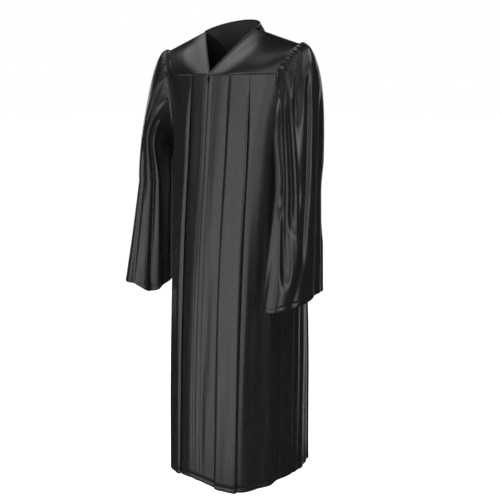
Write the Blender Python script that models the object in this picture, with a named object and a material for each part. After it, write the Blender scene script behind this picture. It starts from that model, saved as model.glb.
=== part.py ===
"""A graduation gown in its worn shape with no wearer, held up at the shoulders.

Metres, +Z up, the front towards -Y and the wearer's left towards +X. The origin lies between
the two neck ends of the shoulder seams.
"""

from math import cos, pi, radians, sin

import bmesh
import bpy
import numpy as np
from mathutils import Matrix

# Cloth
WALL = 0.0020
HEM_WALL = 0.0030
HEM_WIDTH = 0.014
HEM_STEP = 0.002
SEAM_GAP = 0.0003
CREASE_ANGLE = 38

# Neck, shoulders and yokes
NECK_SIDE = (0.099, -0.009, -0.002)
NECK_BACK_Y = 0.062
NECK_BACK_RISE = 0.031
SHOULDER_TIP = (0.253, -0.005, -0.050)
YOKE_FRONT_Z = -0.127
YOKE_BACK_Z = -0.150
YOKE_FRONT_HALF = 0.210
YOKE_BACK_HALF = 0.212
YOKE_ROUNDING = 0.55
NECK_ROUNDING = 0.08
NECK_CORNER_ROUNDING = 0.72
ROUNDING_SHARE_FRONT = 0.5
ROUNDING_SHARE_BACK = 0.6
YOKE_ROWS = 6
ARMHOLE_TURN_IN = (-0.25, 0.0, -0.97)
SHOULDER_COLUMNS = 7
YOKES_MIDDLE = (0.0, 0.02, -0.20)
BACK_NECK_COLUMNS = 10
NECK_EDGE_RADIUS = 0.0014
NECK_EDGE_TRIM = 0.0025

# Body below the yokes
UNDERARM_Z = -0.335
HEM_Z = -1.335
HEM_DIP = 0.012
BODY_ROWS = 9
ROW_POWER = 1.35
COLUMN_SPACING = 0.026
ARMHOLE_COLUMNS = 10
CORNER_ARC = 0.175
BODY_SECTIONS = (
    dict(z=-0.127, half_width=0.2460, front_y=-0.094, side_y=0.018, back_y=0.126, power=2.60),
    dict(z=-0.335, half_width=0.2130, front_y=-0.112, side_y=0.022, back_y=0.146, power=2.50),
    dict(z=-0.560, half_width=0.2070, front_y=-0.134, side_y=0.026, back_y=0.180, power=2.50),
    dict(z=-0.850, half_width=0.2030, front_y=-0.154, side_y=0.030, back_y=0.215, power=2.55),
    dict(z=-1.335, half_width=0.1960, front_y=-0.172, side_y=0.032, back_y=0.235, power=2.62),
)
SECTION_SAMPLES = 240

# Pressed box pleats, placed by their distance from the centre line along the cloth
PLEAT_RISE = 0.0050
PLEAT_TOP_RISE = 0.25
PLEAT_OPENS_IN = 0.12
PLEAT_EDGE = 0.0028
FRONT_PLEATS = (dict(inner=0.0725, outer=0.1415),)
BACK_PLEATS = (dict(inner=-0.040, outer=0.040), dict(inner=0.088, outer=0.166))

# Soft folds at the sides of the body
BODY_FOLD_GROWS_IN = 0.35
FRONT_FOLDS = (
    dict(at=0.199, width=0.012, depth=0.005, top=-0.45),
    dict(at=0.226, width=0.013, depth=-0.006, top=-0.60),
    dict(at=0.254, width=0.012, depth=0.007, top=-0.55),
)
BACK_FOLDS = (
    dict(at=0.060, width=0.012, depth=0.004, top=-0.55),
    dict(at=0.204, width=0.014, depth=0.006, top=-0.48),
    dict(at=0.234, width=0.013, depth=0.007, top=-0.58),
    dict(at=0.262, width=0.011, depth=0.005, top=-0.45),
)

# Fly and zip
FLY_HALF_WIDTH = 0.021
FLY_TOP_Z = -0.131
FLY_BOTTOM_Z = -1.300
FLY_WALL = 0.0016
FLY_CURVE_ROOM = 0.0004
SLIDER_TOP_Z = -0.1340
SLIDER_WIDTH = 0.0070
SLIDER_HEIGHT = 0.0085
SLIDER_DEPTH = 0.0030
LUG_WIDTH = 0.0011
LUG_HEIGHT = 0.0034
LUG_REACH = 0.0036
PIN_RADIUS = 0.0006
EYE_RADIUS = 0.0017
EYE_HOLE_RADIUS = 0.0010
PULL_WIDTH = 0.0037
PULL_LENGTH = 0.0125
PULL_THICKNESS = 0.0011
PLATE_OVERLAP = 0.7

# Sleeves. Turn 0 is the outer side, 90 degrees the front and 180 degrees the side by the body
CAP_STEPS = 6
UNDERARM_STEPS = 2
CAP_LEVELS = (0.0, 0.022, 0.075, 0.16, 0.29, 0.46, 0.70, 1.0)
CAP_BOTTOM_Z = -0.450
CAP_SPREAD = 0.095
CAP_LIFT = 1.5
CAP_FALL = 1.15
CAP_TURNS_IN = 2.2
CAP_LEAVES = dict(seam=0.50, outward=0.62, side=0.45, down=-0.10, spread=1.1)
FRONT_FULLNESS = 0.034
FRONT_FULLNESS_TURN = 118
FULLNESS_PEAK = 0.4**2 * 0.6**3
SLEEVE_MIDDLE = (0.27, -0.04, -0.4)
SLEEVE_ROWS = 5
SLEEVE_SECTIONS = (
    dict(z=-0.450, x=0.2750, y=-0.031, half_width=0.0550, half_depth=0.0830),
    dict(z=-0.600, x=0.2780, y=-0.043, half_width=0.0570, half_depth=0.1000),
    dict(z=-0.755, x=0.2800, y=-0.058, half_width=0.0590, half_depth=0.1190),
)
CUFF_WAVES = (
    dict(side="both", turn=-35, width=48, drop=-0.026),
    dict(side="both", turn=85, width=45, drop=0.006),
    dict(side="right", turn=148, width=28, drop=0.036),
)
GATHERS = 18
GATHERS_EVEN_OUT = 0.30
GATHER_DEPTH = 0.0026
GATHER_REACH = 0.30
FOLD_GROWTH = 0.25
FOLD_STARTS_IN = 0.10
FOLD_ENDS_IN = 0.12
SLEEVE_FOLDS = (
    dict(turn=351, width=12, depth=0.0085, top=-0.09, bottom=-0.46),
    dict(turn=37, width=9, depth=0.0090, top=-0.08, bottom=-0.33),
    dict(turn=84, width=11, depth=0.0110, top=-0.12, bottom=-0.56),
    dict(turn=60, width=10, depth=0.0085, top=-0.44, bottom=-0.70),
    dict(turn=14, width=11, depth=0.0105, top=-0.40, bottom=-0.90),
    dict(turn=112, width=12, depth=0.0050, top=-0.42, bottom=-0.90),
    dict(turn=212, width=14, depth=0.0070, top=-0.36, bottom=-0.80),
    dict(turn=250, width=13, depth=0.0090, top=-0.20, bottom=-0.90),
    dict(turn=288, width=12, depth=0.0100, top=-0.12, bottom=-0.60),
    dict(turn=320, width=12, depth=0.0090, top=-0.36, bottom=-0.90),
)


def clear_scene():
    for thing in list(bpy.data.objects):
        bpy.data.objects.remove(thing)


def material(name, colour, roughness, metallic=0.0):
    made = bpy.data.materials.new(name)
    made.use_nodes = True
    shader = made.node_tree.nodes["Principled BSDF"]
    shader.inputs["Base Color"].default_value = (*colour, 1.0)
    shader.inputs["Roughness"].default_value = roughness
    shader.inputs["Metallic"].default_value = metallic
    return made


def smooth_table(rows, key, column, at):
    """A column of a table as a smooth curve of its key column, read at one or many places."""
    keys = np.array([row[key] for row in rows])
    values = np.array([row[column] for row in rows])
    order = np.argsort(keys)
    keys, values = keys[order], values[order]
    slopes = np.gradient(values, keys)
    place = np.clip(at, keys[0], keys[-1])
    index = np.clip(np.searchsorted(keys, place) - 1, 0, len(keys) - 2)
    span = keys[index + 1] - keys[index]
    t = (place - keys[index]) / span
    start = values[index] * (1 + 2 * t) * (1 - t) ** 2 + slopes[index] * span * t * (1 - t) ** 2
    end = values[index + 1] * t**2 * (3 - 2 * t) - slopes[index + 1] * span * t**2 * (1 - t)
    return start + end


def unit(vectors):
    return vectors / np.linalg.norm(vectors, axis=-1, keepdims=True)


def smooth_step(x):
    x = np.clip(x, 0.0, 1.0)
    return x * x * (3 - 2 * x)


def quarter_section(z, back):
    """One quarter of the body's section at a level, from the centre line round to the side."""
    half_width = smooth_table(BODY_SECTIONS, "z", "half_width", z)
    centre = smooth_table(BODY_SECTIONS, "z", "back_y" if back else "front_y", z)
    side = smooth_table(BODY_SECTIONS, "z", "side_y", z)
    power = 2 / smooth_table(BODY_SECTIONS, "z", "power", z)
    turn = np.linspace(0, pi / 2, SECTION_SAMPLES)
    x = half_width * np.sin(turn) ** power
    y = side + (centre - side) * np.cos(turn) ** power
    arc = np.concatenate([[0], np.cumsum(np.hypot(np.diff(x), np.diff(y)))])
    return x, y, arc


def arc_of_x(x, z, back):
    """The distance along the section from the centre line to a place x out from it."""
    section_x, _, arc = quarter_section(z, back)
    return float(np.interp(x, section_x, arc))


def body_point(arc, whole_arc, z, back):
    """A point on the body's plain surface. Past the front corner the cloth spreads to the side."""
    x, y, arcs = quarter_section(z, back)
    spread = max(0.0, arc - CORNER_ARC) / (whole_arc - CORNER_ARC)
    place = min(arc, CORNER_ARC) + spread * (arcs[-1] - CORNER_ARC)
    return np.array([np.interp(place, arcs, x), np.interp(place, arcs, y), z])


def body_outward(point, z, back):
    """The section's outward direction at a point."""
    x, y, _ = quarter_section(z, back)
    near = np.argmin(np.hypot(x - point[0], y - point[1]))
    low, high = max(near - 2, 0), min(near + 2, len(x) - 1)
    along = np.array([x[high] - x[low], y[high] - y[low]])
    across = np.array([-along[1], along[0], 0.0]) if back else np.array([along[1], -along[0], 0.0])
    outward = np.array([point[0], point[1] - smooth_table(BODY_SECTIONS, "z", "side_y", z), 0.0])
    return unit(across) * (1.0 if across @ outward >= 0 else -1.0)


def pleat_height(arc, pleats):
    """1 on a box pleat, 0 beside it, with a steep edge."""
    height = 0.0
    for pleat in pleats:
        rise = smooth_step((arc - pleat["inner"]) / PLEAT_EDGE + 0.5)
        fall = smooth_step((pleat["outer"] - arc) / PLEAT_EDGE + 0.5)
        height = max(height, float(min(rise, fall)))
    return height


def fold_depth(arc, z, folds):
    depth = 0.0
    for fold in folds:
        grow = smooth_step((fold["top"] - z) / BODY_FOLD_GROWS_IN)
        depth += fold["depth"] * grow * np.exp(-(((arc - fold["at"]) / fold["width"]) ** 2))
    return depth


def panel_columns(pleats, corner_arc, whole_arc):
    """Places across a panel: even ones, both sides of each pleat's edge, then the armhole's."""
    edges = [pleat[side] for pleat in pleats for side in ("inner", "outer")]
    edges = [edge for edge in edges if 0 < edge < corner_arc]
    steps = [edge + shift * PLEAT_EDGE / 2 for edge in edges for shift in (-1.0, 1.0)]
    bounds = [0.0, *edges, corner_arc]
    middles = []
    for low, high in zip(bounds, bounds[1:]):
        count = max(1, round((high - low) / COLUMN_SPACING))
        middles += [low + (high - low) * i / count for i in range(1, count)]
    seam = [0.0, *steps, *middles, corner_arc]
    armhole = [
        corner_arc + (whole_arc - corner_arc) * (1 - cos(pi / 2 * i / ARMHOLE_COLUMNS))
        for i in range(1, ARMHOLE_COLUMNS + 1)
    ]
    return sorted(seam), armhole


def panel_top(arc, corner_arc, whole_arc, seam_z):
    """The level of a panel's upper edge: the yoke seam, then a quarter round of the armhole."""
    share = np.clip((arc - corner_arc) / (whole_arc - corner_arc), 0, 1)
    return seam_z + (UNDERARM_Z - seam_z) * np.sqrt(1 - (1 - share) ** 2)


def hem_level(point):
    """The hem hangs lowest at the four corners."""
    turn = np.arctan2(point[0], abs(point[1]))
    return HEM_Z - HEM_DIP * sin(2 * turn) ** 2


def panel_grid(back):
    """Half a panel on the wearer's left, rows from the upper edge to the hem. It returns the outer
    points and the directions towards the inside."""
    seam_z = YOKE_BACK_Z if back else YOKE_FRONT_Z
    half = YOKE_BACK_HALF if back else YOKE_FRONT_HALF
    pleats = BACK_PLEATS if back else FRONT_PLEATS
    folds = BACK_FOLDS if back else FRONT_FOLDS
    whole_arc = quarter_section(UNDERARM_Z, back)[2][-1]
    spread = (quarter_section(seam_z, back)[2][-1] - CORNER_ARC) / (whole_arc - CORNER_ARC)
    corner_arc = CORNER_ARC + (arc_of_x(half, seam_z, back) - CORNER_ARC) / spread
    seam, armhole = panel_columns(pleats, corner_arc, whole_arc)
    outer, inward = [], []
    for arc in seam + armhole:
        top = panel_top(arc, corner_arc, whole_arc, seam_z)
        column, directions = [], []
        hem = hem_level(body_point(arc, whole_arc, HEM_Z, back))
        for z in panel_levels(top, hem):
            plain = body_point(arc, whole_arc, z, back)
            out = body_outward(plain, z, back)
            opened = smooth_step((top - z) / PLEAT_OPENS_IN)
            rise = PLEAT_RISE * (PLEAT_TOP_RISE + (1 - PLEAT_TOP_RISE) * opened)
            rise *= pleat_height(arc, pleats) * (z < top)
            column.append(plain + out * (rise - fold_depth(arc, z, folds)))
            directions.append(-out)
        outer.append(column)
        inward.append(directions)
    return np.array(outer).transpose(1, 0, 2), np.array(inward).transpose(1, 0, 2), len(seam) - 1


def panel_levels(top, hem):
    """Levels down a panel, closer together near its upper edge. The last three bound the hem."""
    above_hem = hem + HEM_WIDTH + HEM_STEP
    rows = top + (above_hem - top) * (np.arange(BODY_ROWS + 1) / BODY_ROWS) ** ROW_POWER
    return np.concatenate([rows, [hem + HEM_WIDTH, hem]])


def mirrored(points):
    return points * np.array([-1.0, 1.0, 1.0])


def shoulder_line():
    """Points along the left shoulder seam, from the neck to the tip."""
    share = np.linspace(0, 1, SHOULDER_COLUMNS + 1)[:, None]
    return np.array(NECK_SIDE) * (1 - share) + np.array(SHOULDER_TIP) * share


def rounded_rows(top, bottom, rounding):
    """Rows from a shoulder seam down to a yoke seam. More rounding meets it more upright."""
    rows = []
    for share in np.linspace(0, 1, YOKE_ROWS + 1):
        out = share + rounding * (sin(share * pi / 2) - share)
        down = share + rounding * ((1 - cos(share * pi / 2)) - share)
        rows.append(top + (bottom - top) * np.stack([np.full_like(out, share), out, down], 1))
    return np.array(rows)


def yoke_seam(back, columns):
    """The yoke seam from the centre to the armhole, at even distances along it."""
    z = YOKE_BACK_Z if back else YOKE_FRONT_Z
    half = YOKE_BACK_HALF if back else YOKE_FRONT_HALF
    x, y, arcs = quarter_section(z, back)
    places = np.linspace(0, arc_of_x(half, z, back), columns + 1)
    level = np.full(columns + 1, z)
    return np.stack([np.interp(places, arcs, x), np.interp(places, arcs, y), level], 1)


def front_yoke_grid():
    """The left front yoke, rows from the shoulder to the yoke seam, columns from neck to armhole."""
    across = np.linspace(0, 1, SHOULDER_COLUMNS + 1)
    rounding = NECK_ROUNDING + (YOKE_ROUNDING - NECK_ROUNDING) * smooth_step(across / ROUNDING_SHARE_FRONT)
    return rounded_rows(shoulder_line(), yoke_seam(False, SHOULDER_COLUMNS), rounding)


def back_neck_line():
    """The back neck from the left shoulder seam round to the right one."""
    turn = np.linspace(0, pi, BACK_NECK_COLUMNS + 1)
    depth = NECK_BACK_Y - NECK_SIDE[1]
    x = NECK_SIDE[0] * np.cos(turn)
    y = NECK_SIDE[1] + depth * np.sin(turn)
    return np.stack([x, y, NECK_SIDE[2] + NECK_BACK_RISE * np.sin(turn)], 1)


def back_yoke_grid():
    """The whole back yoke, from the wearer's right armhole to the left one."""
    left_shoulder, neck = shoulder_line(), back_neck_line()
    top = np.concatenate([mirrored(left_shoulder)[::-1], neck[::-1][1:-1], left_shoulder])
    columns = len(top) - 1
    share = np.abs(np.linspace(-1, 1, columns + 1))
    x, y, arcs = quarter_section(YOKE_BACK_Z, True)
    places = share * arc_of_x(YOKE_BACK_HALF, YOKE_BACK_Z, True)
    sides = np.sign(np.linspace(-1, 1, columns + 1))
    level = np.full(columns + 1, YOKE_BACK_Z)
    bottom = np.stack([np.interp(places, arcs, x) * sides, np.interp(places, arcs, y), level], 1)
    from_neck = (share * columns / 2 - BACK_NECK_COLUMNS / 2) / SHOULDER_COLUMNS
    full = smooth_step(np.abs(from_neck) / ROUNDING_SHARE_BACK)
    rounding = NECK_CORNER_ROUNDING + (YOKE_ROUNDING - NECK_CORNER_ROUNDING) * full
    return rounded_rows(top, bottom, rounding)


def grid_inward(points, towards):
    """Directions square to a grid, on the side of one point inside the garment."""
    along = np.gradient(points, axis=1)
    down = np.gradient(points, axis=0)
    square = unit(np.cross(along, down))
    side = np.sign(((np.array(towards) - points) * square).sum(-1).mean())
    return square * side


def armhole_line():
    """The left armhole's corners from the shoulder tip by the front and underarm back to the tip,
    the direction into the cloth at each, and the direction that the sleeve leaves in."""
    front_yoke, back_yoke = front_yoke_grid(), back_yoke_grid()
    front, _, front_corner = panel_grid(False)
    back, _, back_corner = panel_grid(True)
    points = np.concatenate(
        [
            front_yoke[:, -1],
            front[0, front_corner + 1 :],
            back[0, back_corner + 1 : -1][::-1],
            back_yoke[1:, -1][::-1],
        ]
    )
    inward = []
    for index, point in enumerate(points):
        if index == 0:
            direction = np.array(ARMHOLE_TURN_IN)
        elif index < YOKE_ROWS or index > len(points) - YOKE_ROWS:
            share = (SHOULDER_TIP[2] - point[2]) / (SHOULDER_TIP[2] - YOKE_FRONT_Z)
            level = -body_outward(point, YOKE_FRONT_Z, point[1] > SHOULDER_TIP[1])
            direction = np.array(ARMHOLE_TURN_IN) * (1 - min(share, 1)) + level * min(share, 1)
        else:
            direction = -body_outward(point, point[2], point[1] > BODY_SECTIONS[0]["side_y"])
        inward.append(direction)
    inward = unit(np.array(inward))
    along = np.roll(points, -1, axis=0) - np.roll(points, 1, axis=0)
    leaving = unit(np.cross(inward, along))
    centre = points.mean(axis=0) + np.array([0.12, 0.0, 0.0])
    leaving *= np.sign(((centre - points) * leaving).sum(-1, keepdims=True))
    return points, inward, leaving


def two_triangles(mesh, corners, across_first, flip):
    """A quad as two triangles, split from its first corner or from its second."""
    a, b, c, d = corners
    for triangle in ([a, b, c], [a, c, d]) if across_first else ([a, b, d], [b, c, d]):
        mesh.faces.new(triangle[::-1] if flip else triangle)


def link_grid(mesh, outer, inner, closed):
    """Faces of a wall between an outer and an inner grid, both split the same way, so that a twisted
    stretch of the wall keeps its thickness."""
    rows, columns = outer.shape[:2]
    sheets = [[[mesh.verts.new(point) for point in row] for row in grid] for grid in (outer, inner)]
    spans = columns if closed else columns - 1
    for row in range(rows - 1):
        for column in range(spans):
            after = (column + 1) % columns
            first = np.linalg.norm(outer[row, column] - outer[row + 1, after])
            second = np.linalg.norm(outer[row, after] - outer[row + 1, column])
            for sheet, flip in zip(sheets, (False, True)):
                upper, lower = sheet[row], sheet[row + 1]
                corners = [upper[column], upper[after], lower[after], lower[column]]
                two_triangles(mesh, corners, first <= second, flip)
    front, behind = sheets
    for row in (0, rows - 1):
        for column in range(spans):
            after = (column + 1) % columns
            mesh.faces.new([front[row][column], front[row][after], behind[row][after], behind[row][column]])
    for column in () if closed else (0, columns - 1):
        for row in range(rows - 1):
            edge = [front[row][column], front[row + 1][column]]
            mesh.faces.new([*edge, behind[row + 1][column], behind[row][column]])


def finish_object(mesh, name, finish, collection):
    bmesh.ops.recalc_face_normals(mesh, faces=mesh.faces)
    data = bpy.data.meshes.new(name)
    mesh.to_mesh(data)
    mesh.free()
    data.materials.append(finish)
    made = bpy.data.objects.new(name, data)
    collection.objects.link(made)
    data.shade_smooth()
    data.set_sharp_from_angle(angle=radians(CREASE_ANGLE))
    return made


def wall(name, outer, inward, finish, collection, closed=False, hem=False, thickness=WALL):
    depth = np.full(outer.shape[:2] + (1,), thickness)
    if hem:
        depth[-2:] = HEM_WALL
    mesh = bmesh.new()
    link_grid(mesh, outer, outer + inward * depth, closed)
    return finish_object(mesh, name, finish, collection)


def build_body(cloth, collection):
    armhole, armhole_inward, leaving = armhole_line()
    front, front_inward, corner = panel_grid(False)
    count = front.shape[1] - corner
    seam = slice(YOKE_ROWS, YOKE_ROWS + count)
    front[0, corner:] -= leaving[seam] * SEAM_GAP / 2
    front_inward[0, corner:] = armhole_inward[seam]
    front[0, : corner + 1, 2] -= SEAM_GAP / 2
    front[:, -1, 1] -= SEAM_GAP / 2
    front[:, 0, 0] += SEAM_GAP / 2
    wall("front_left", front, front_inward, cloth, collection, hem=True)
    wall("front_right", mirrored(front), mirrored(front_inward), cloth, collection, hem=True)

    back, back_inward, corner = panel_grid(True)
    count = back.shape[1] - corner
    last = len(armhole) - YOKE_ROWS
    seam = slice(last - count + 1, last + 1)
    back[0, corner:] -= leaving[seam][::-1] * SEAM_GAP / 2
    back_inward[0, corner:] = armhole_inward[seam][::-1]
    back[0, : corner + 1, 2] -= SEAM_GAP / 2
    back[:, -1, 1] += SEAM_GAP / 2
    whole = np.concatenate([mirrored(back)[:, :0:-1], back], axis=1)
    whole_inward = np.concatenate([mirrored(back_inward)[:, :0:-1], back_inward], axis=1)
    wall("back", whole, whole_inward, cloth, collection, hem=True)


def yoke_inward(points, back):
    """Square to the yoke, straight down at the shoulder seam and level at the yoke seam."""
    inward = grid_inward(points, YOKES_MIDDLE)
    z = YOKE_BACK_Z if back else YOKE_FRONT_Z
    for column, point in enumerate(points[-1]):
        right_side = point * np.array([np.sign(point[0]) or 1.0, 1.0, 1.0])
        level = -body_outward(right_side, z, back)
        inward[-1, column] = level * np.array([np.sign(point[0]) or 1.0, 1.0, 1.0])
    return inward


def build_yokes(cloth, collection):
    _, armhole_inward, leaving = armhole_line()
    front = front_yoke_grid()
    inward = yoke_inward(front, False)
    inward[0] = (0.0, 0.0, -1.0)
    inward[:, -1] = armhole_inward[: YOKE_ROWS + 1]
    front[:, -1] -= leaving[: YOKE_ROWS + 1] * SEAM_GAP / 2
    front[0, :, 1] -= SEAM_GAP / 2
    front[-1, :, 2] += SEAM_GAP / 2
    front[-1, 0, 0] += SEAM_GAP / 2
    wall("yoke_front_left", front, inward, cloth, collection)
    wall("yoke_front_right", mirrored(front), mirrored(inward), cloth, collection)

    back = back_yoke_grid()
    inward = yoke_inward(back, True)
    edge = np.r_[0, len(armhole_inward) - np.arange(1, YOKE_ROWS + 1)]
    inward[0, : SHOULDER_COLUMNS + 1] = (0.0, 0.0, -1.0)
    inward[0, -SHOULDER_COLUMNS - 1 :] = (0.0, 0.0, -1.0)
    inward[:, -1] = armhole_inward[edge]
    inward[:, 0] = mirrored(armhole_inward[edge])
    back[:, -1] -= leaving[edge] * SEAM_GAP / 2
    back[:, 0] -= mirrored(leaving[edge]) * SEAM_GAP / 2
    back[0, : SHOULDER_COLUMNS + 1, 1] += SEAM_GAP / 2
    back[0, -SHOULDER_COLUMNS - 1 :, 1] += SEAM_GAP / 2
    back[-1, :, 2] += SEAM_GAP / 2
    wall("yoke_back", back, inward, cloth, collection)


def sleeve_fold(turn, z):
    """How far the sleeve's troughs go in at a turn and a level."""
    depth = 0.0
    for fold in SLEEVE_FOLDS:
        away = (turn - fold["turn"] + 180) % 360 - 180
        grow = smooth_step((fold["top"] - z) / FOLD_STARTS_IN)
        grow *= smooth_step((z - fold["bottom"]) / FOLD_ENDS_IN)
        depth += fold["depth"] * grow * np.exp(-((away / fold["width"]) ** 2))
    return depth


def cuff_level(turn, side):
    """The sleeve's hem rises at the outer back and waves at the front."""
    level = SLEEVE_SECTIONS[-1]["z"]
    for wave in CUFF_WAVES:
        if wave["side"] in ("both", side):
            away = (turn - wave["turn"] + 180) % 360 - 180
            level -= wave["drop"] * np.exp(-((away / wave["width"]) ** 2))
    return level


def sleeve_grid(side):
    """A sleeve as on the left, rows from the armhole to the hem, columns once round. It returns the
    outer points and the directions towards the inside."""
    corners, corner_inward, corner_leaving = armhole_line()
    ring, inward, leaving, places = [], [], [], []
    for low in range(len(corners)):
        high = (low + 1) % len(corners)
        from_tip = low if low <= len(corners) / 2 else low - len(corners)
        steps = CAP_STEPS if -YOKE_ROWS <= from_tip < YOKE_ROWS else UNDERARM_STEPS
        for share in np.arange(steps) / steps:
            for made, source in ((ring, corners), (inward, corner_inward), (leaving, corner_leaving)):
                made.append(source[low] * (1 - share) + source[high] * share)
            places.append(np.clip((from_tip + share) / YOKE_ROWS, -1, 1))
    count = len(ring)
    ring, inward, leaving = np.array(ring), unit(np.array(inward)), unit(np.array(leaving))
    ring_start = ring + leaving * SEAM_GAP / 2
    lengths = np.linalg.norm(np.roll(ring, -1, axis=0) - ring, axis=1)
    arc = np.concatenate([[0], np.cumsum(lengths)[:-1]])
    underarm = YOKE_ROWS * CAP_STEPS + ARMHOLE_COLUMNS * UNDERARM_STEPS
    half, whole = arc[underarm], lengths.sum()
    turns = np.where(arc <= half, 180 * arc / half, 180 + 180 * (arc - half) / (whole - half))

    def section(z, turn):
        values = {}
        for key in ("x", "y", "half_width", "half_depth"):
            values[key] = smooth_table(SLEEVE_SECTIONS, "z", key, z)
        across = np.array([cos(radians(turn)), -sin(radians(turn)), 0.0])
        plain = np.array([values["x"], values["y"], z]) + across * np.array(
            [values["half_width"], values["half_depth"], 0.0]
        )
        out = unit(across / np.array([values["half_width"], values["half_depth"], 1.0]))
        return plain, out

    rows, directions = [], []
    for level in CAP_LEVELS:
        row, row_inward = [], []
        for index in range(count):
            low_point, low_out = section(CAP_BOTTOM_Z, turns[index])
            start, out = ring_start[index], -inward[index]
            length = np.linalg.norm(low_point - start)
            lift = max(0.0, cos(radians(turns[index])))
            leave = leaving[index] * CAP_LEAVES["seam"] + out * CAP_LEAVES["outward"]
            leave += np.array([CAP_LEAVES["side"], 0.0, CAP_LEAVES["down"] * lift])
            leave = unit(leave) * CAP_SPREAD * (CAP_LEAVES["spread"] + CAP_LIFT * lift)
            fall = np.array([0.0, 0.0, -1.0]) * length * CAP_FALL
            t = level
            point = (
                start * (1 + 2 * t) * (1 - t) ** 2
                + leave * t * (1 - t) ** 2
                + low_point * t**2 * (3 - 2 * t)
                - fall * t**2 * (1 - t)
            )
            forward = max(0.0, cos(radians(turns[index] - FRONT_FULLNESS_TURN))) ** 2
            point[1] -= FRONT_FULLNESS * forward * t**2 * (1 - t) ** 3 / FULLNESS_PEAK
            turned = smooth_step(t * CAP_TURNS_IN)
            facing = unit(out * (1 - turned) + low_out * turned)
            gather = GATHER_DEPTH * max(0.0, 1 - t / GATHER_REACH) * (t > 0)
            ripple = gather * gather_wave(places[index])
            fold = sleeve_fold(turns[index], point[2]) * smooth_step(t / FOLD_GROWTH)
            row.append(point + facing * (ripple - fold))
            row_inward.append(-facing)
        rows.append(row)
        directions.append(row_inward)
    for step in range(1, SLEEVE_ROWS + 1):
        row, row_inward = [], []
        for index in range(count):
            hem = cuff_level(turns[index], side)
            z = CAP_BOTTOM_Z + (hem - CAP_BOTTOM_Z) * step / (SLEEVE_ROWS - 1)
            if step >= SLEEVE_ROWS - 1:
                z = hem + HEM_WIDTH * (SLEEVE_ROWS - step)
            plain, out = section(max(z, SLEEVE_SECTIONS[-1]["z"]), turns[index])
            plain[2] = z
            row.append(plain - out * sleeve_fold(turns[index], z))
            row_inward.append(-out)
        rows.append(row)
        directions.append(row_inward)
    outer, inner = np.array(rows), np.array(directions)
    square = grid_inward(np.concatenate([outer, outer[:, :1]], axis=1), SLEEVE_MIDDLE)[:, :-1]
    inner[1] = unit(inner[1] + square[1])
    inner[2:] = square[2:]
    return outer, inner


def gather_wave(place):
    """Ridges and troughs along the yokes' edges. place runs from -1 at the back corner of the yoke
    to 0 at the shoulder tip and 1 at the front corner, and there are none beyond."""
    share = smooth_step((1 - abs(place)) / GATHERS_EVEN_OUT)
    return cos(pi * GATHERS * place) * share


def build_sleeves(cloth, collection):
    outer, inward = sleeve_grid("left")
    wall("sleeve_left", outer, inward, cloth, collection, closed=True, hem=True)
    outer, inward = sleeve_grid("right")
    wall("sleeve_right", mirrored(outer), mirrored(inward), cloth, collection, closed=True, hem=True)


def rod(name, points, radius, finish, collection):
    """A round cord along points, closed at both ends."""
    data = bpy.data.curves.new(name, "CURVE")
    data.dimensions = "3D"
    data.bevel_depth = radius
    data.bevel_resolution = 2
    data.use_fill_caps = True
    spline = data.splines.new("POLY")
    spline.points.add(len(points) - 1)
    for place, point in zip(spline.points, points):
        place.co = (*point, 1.0)
    data.materials.append(finish)
    made = bpy.data.objects.new(name, data)
    collection.objects.link(made)
    return made


def beside_edge(edge, next_row, inward):
    """A line just clear of a yoke's edge, opposite the middle of its wall."""
    away = unit(np.cross(np.gradient(edge, axis=0), inward))
    away *= np.sign(((edge - next_row) * away).sum(-1, keepdims=True))
    line = edge + away * (NECK_EDGE_RADIUS + SEAM_GAP) + inward * WALL / 2
    line[0] += unit(line[1] - line[0]) * NECK_EDGE_TRIM
    line[-1] += unit(line[-2] - line[-1]) * NECK_EDGE_TRIM
    return line


def build_neck_edges(cloth, collection):
    """A narrow rolled edge along the V and the back neck, just clear of the yokes' edges."""
    front = front_yoke_grid()
    line = beside_edge(front[:, 0], front[:, 1], yoke_inward(front, False)[:, 0])
    clear = NECK_EDGE_RADIUS + SEAM_GAP
    share = (line[-2, 0] - clear) / (line[-2, 0] - line[-1, 0])
    line[-1] = line[-2] + (line[-1] - line[-2]) * min(share, 1.0)
    rod("neck_edge_left", line, NECK_EDGE_RADIUS, cloth, collection)
    rod("neck_edge_right", mirrored(line), NECK_EDGE_RADIUS, cloth, collection)
    back = back_yoke_grid()
    neck = slice(SHOULDER_COLUMNS, SHOULDER_COLUMNS + BACK_NECK_COLUMNS + 1)
    line = beside_edge(back[0, neck], back[1, neck], yoke_inward(back, True)[0, neck])
    rod("neck_edge_back", line, NECK_EDGE_RADIUS, cloth, collection)


def centre_front():
    """Levels and depths of the front panels' edge at the centre, upwards."""
    edge = panel_grid(False)[0][::-1, 0]
    return edge[:, 2], edge[:, 1]


def build_fly(cloth, collection):
    """A straight strip behind the centre front slit, which carries the concealed zip."""
    edge_z, edge_y = centre_front()
    inside = edge_z[(edge_z < FLY_TOP_Z) & (edge_z > FLY_BOTTOM_Z)]
    levels = np.concatenate([[FLY_BOTTOM_Z], inside, [FLY_TOP_Z]])
    outer = []
    for z in levels[::-1]:
        depth = float(np.interp(z, edge_z, edge_y)) + WALL + SEAM_GAP + FLY_CURVE_ROOM
        outer.append([(place, depth, z) for place in (-FLY_HALF_WIDTH, 0.0, FLY_HALF_WIDTH)])
    outer = np.array(outer)
    inward = np.zeros_like(outer)
    inward[..., 1] = 1.0
    wall("fly", outer, inward, cloth, collection, thickness=FLY_WALL)


def box(centre, size):
    """A closed box as its own mesh object, for joining."""
    mesh = bmesh.new()
    bmesh.ops.create_cube(mesh, size=1.0)
    bmesh.ops.scale(mesh, vec=size, verts=mesh.verts)
    bmesh.ops.translate(mesh, vec=centre, verts=mesh.verts)
    return mesh


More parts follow.
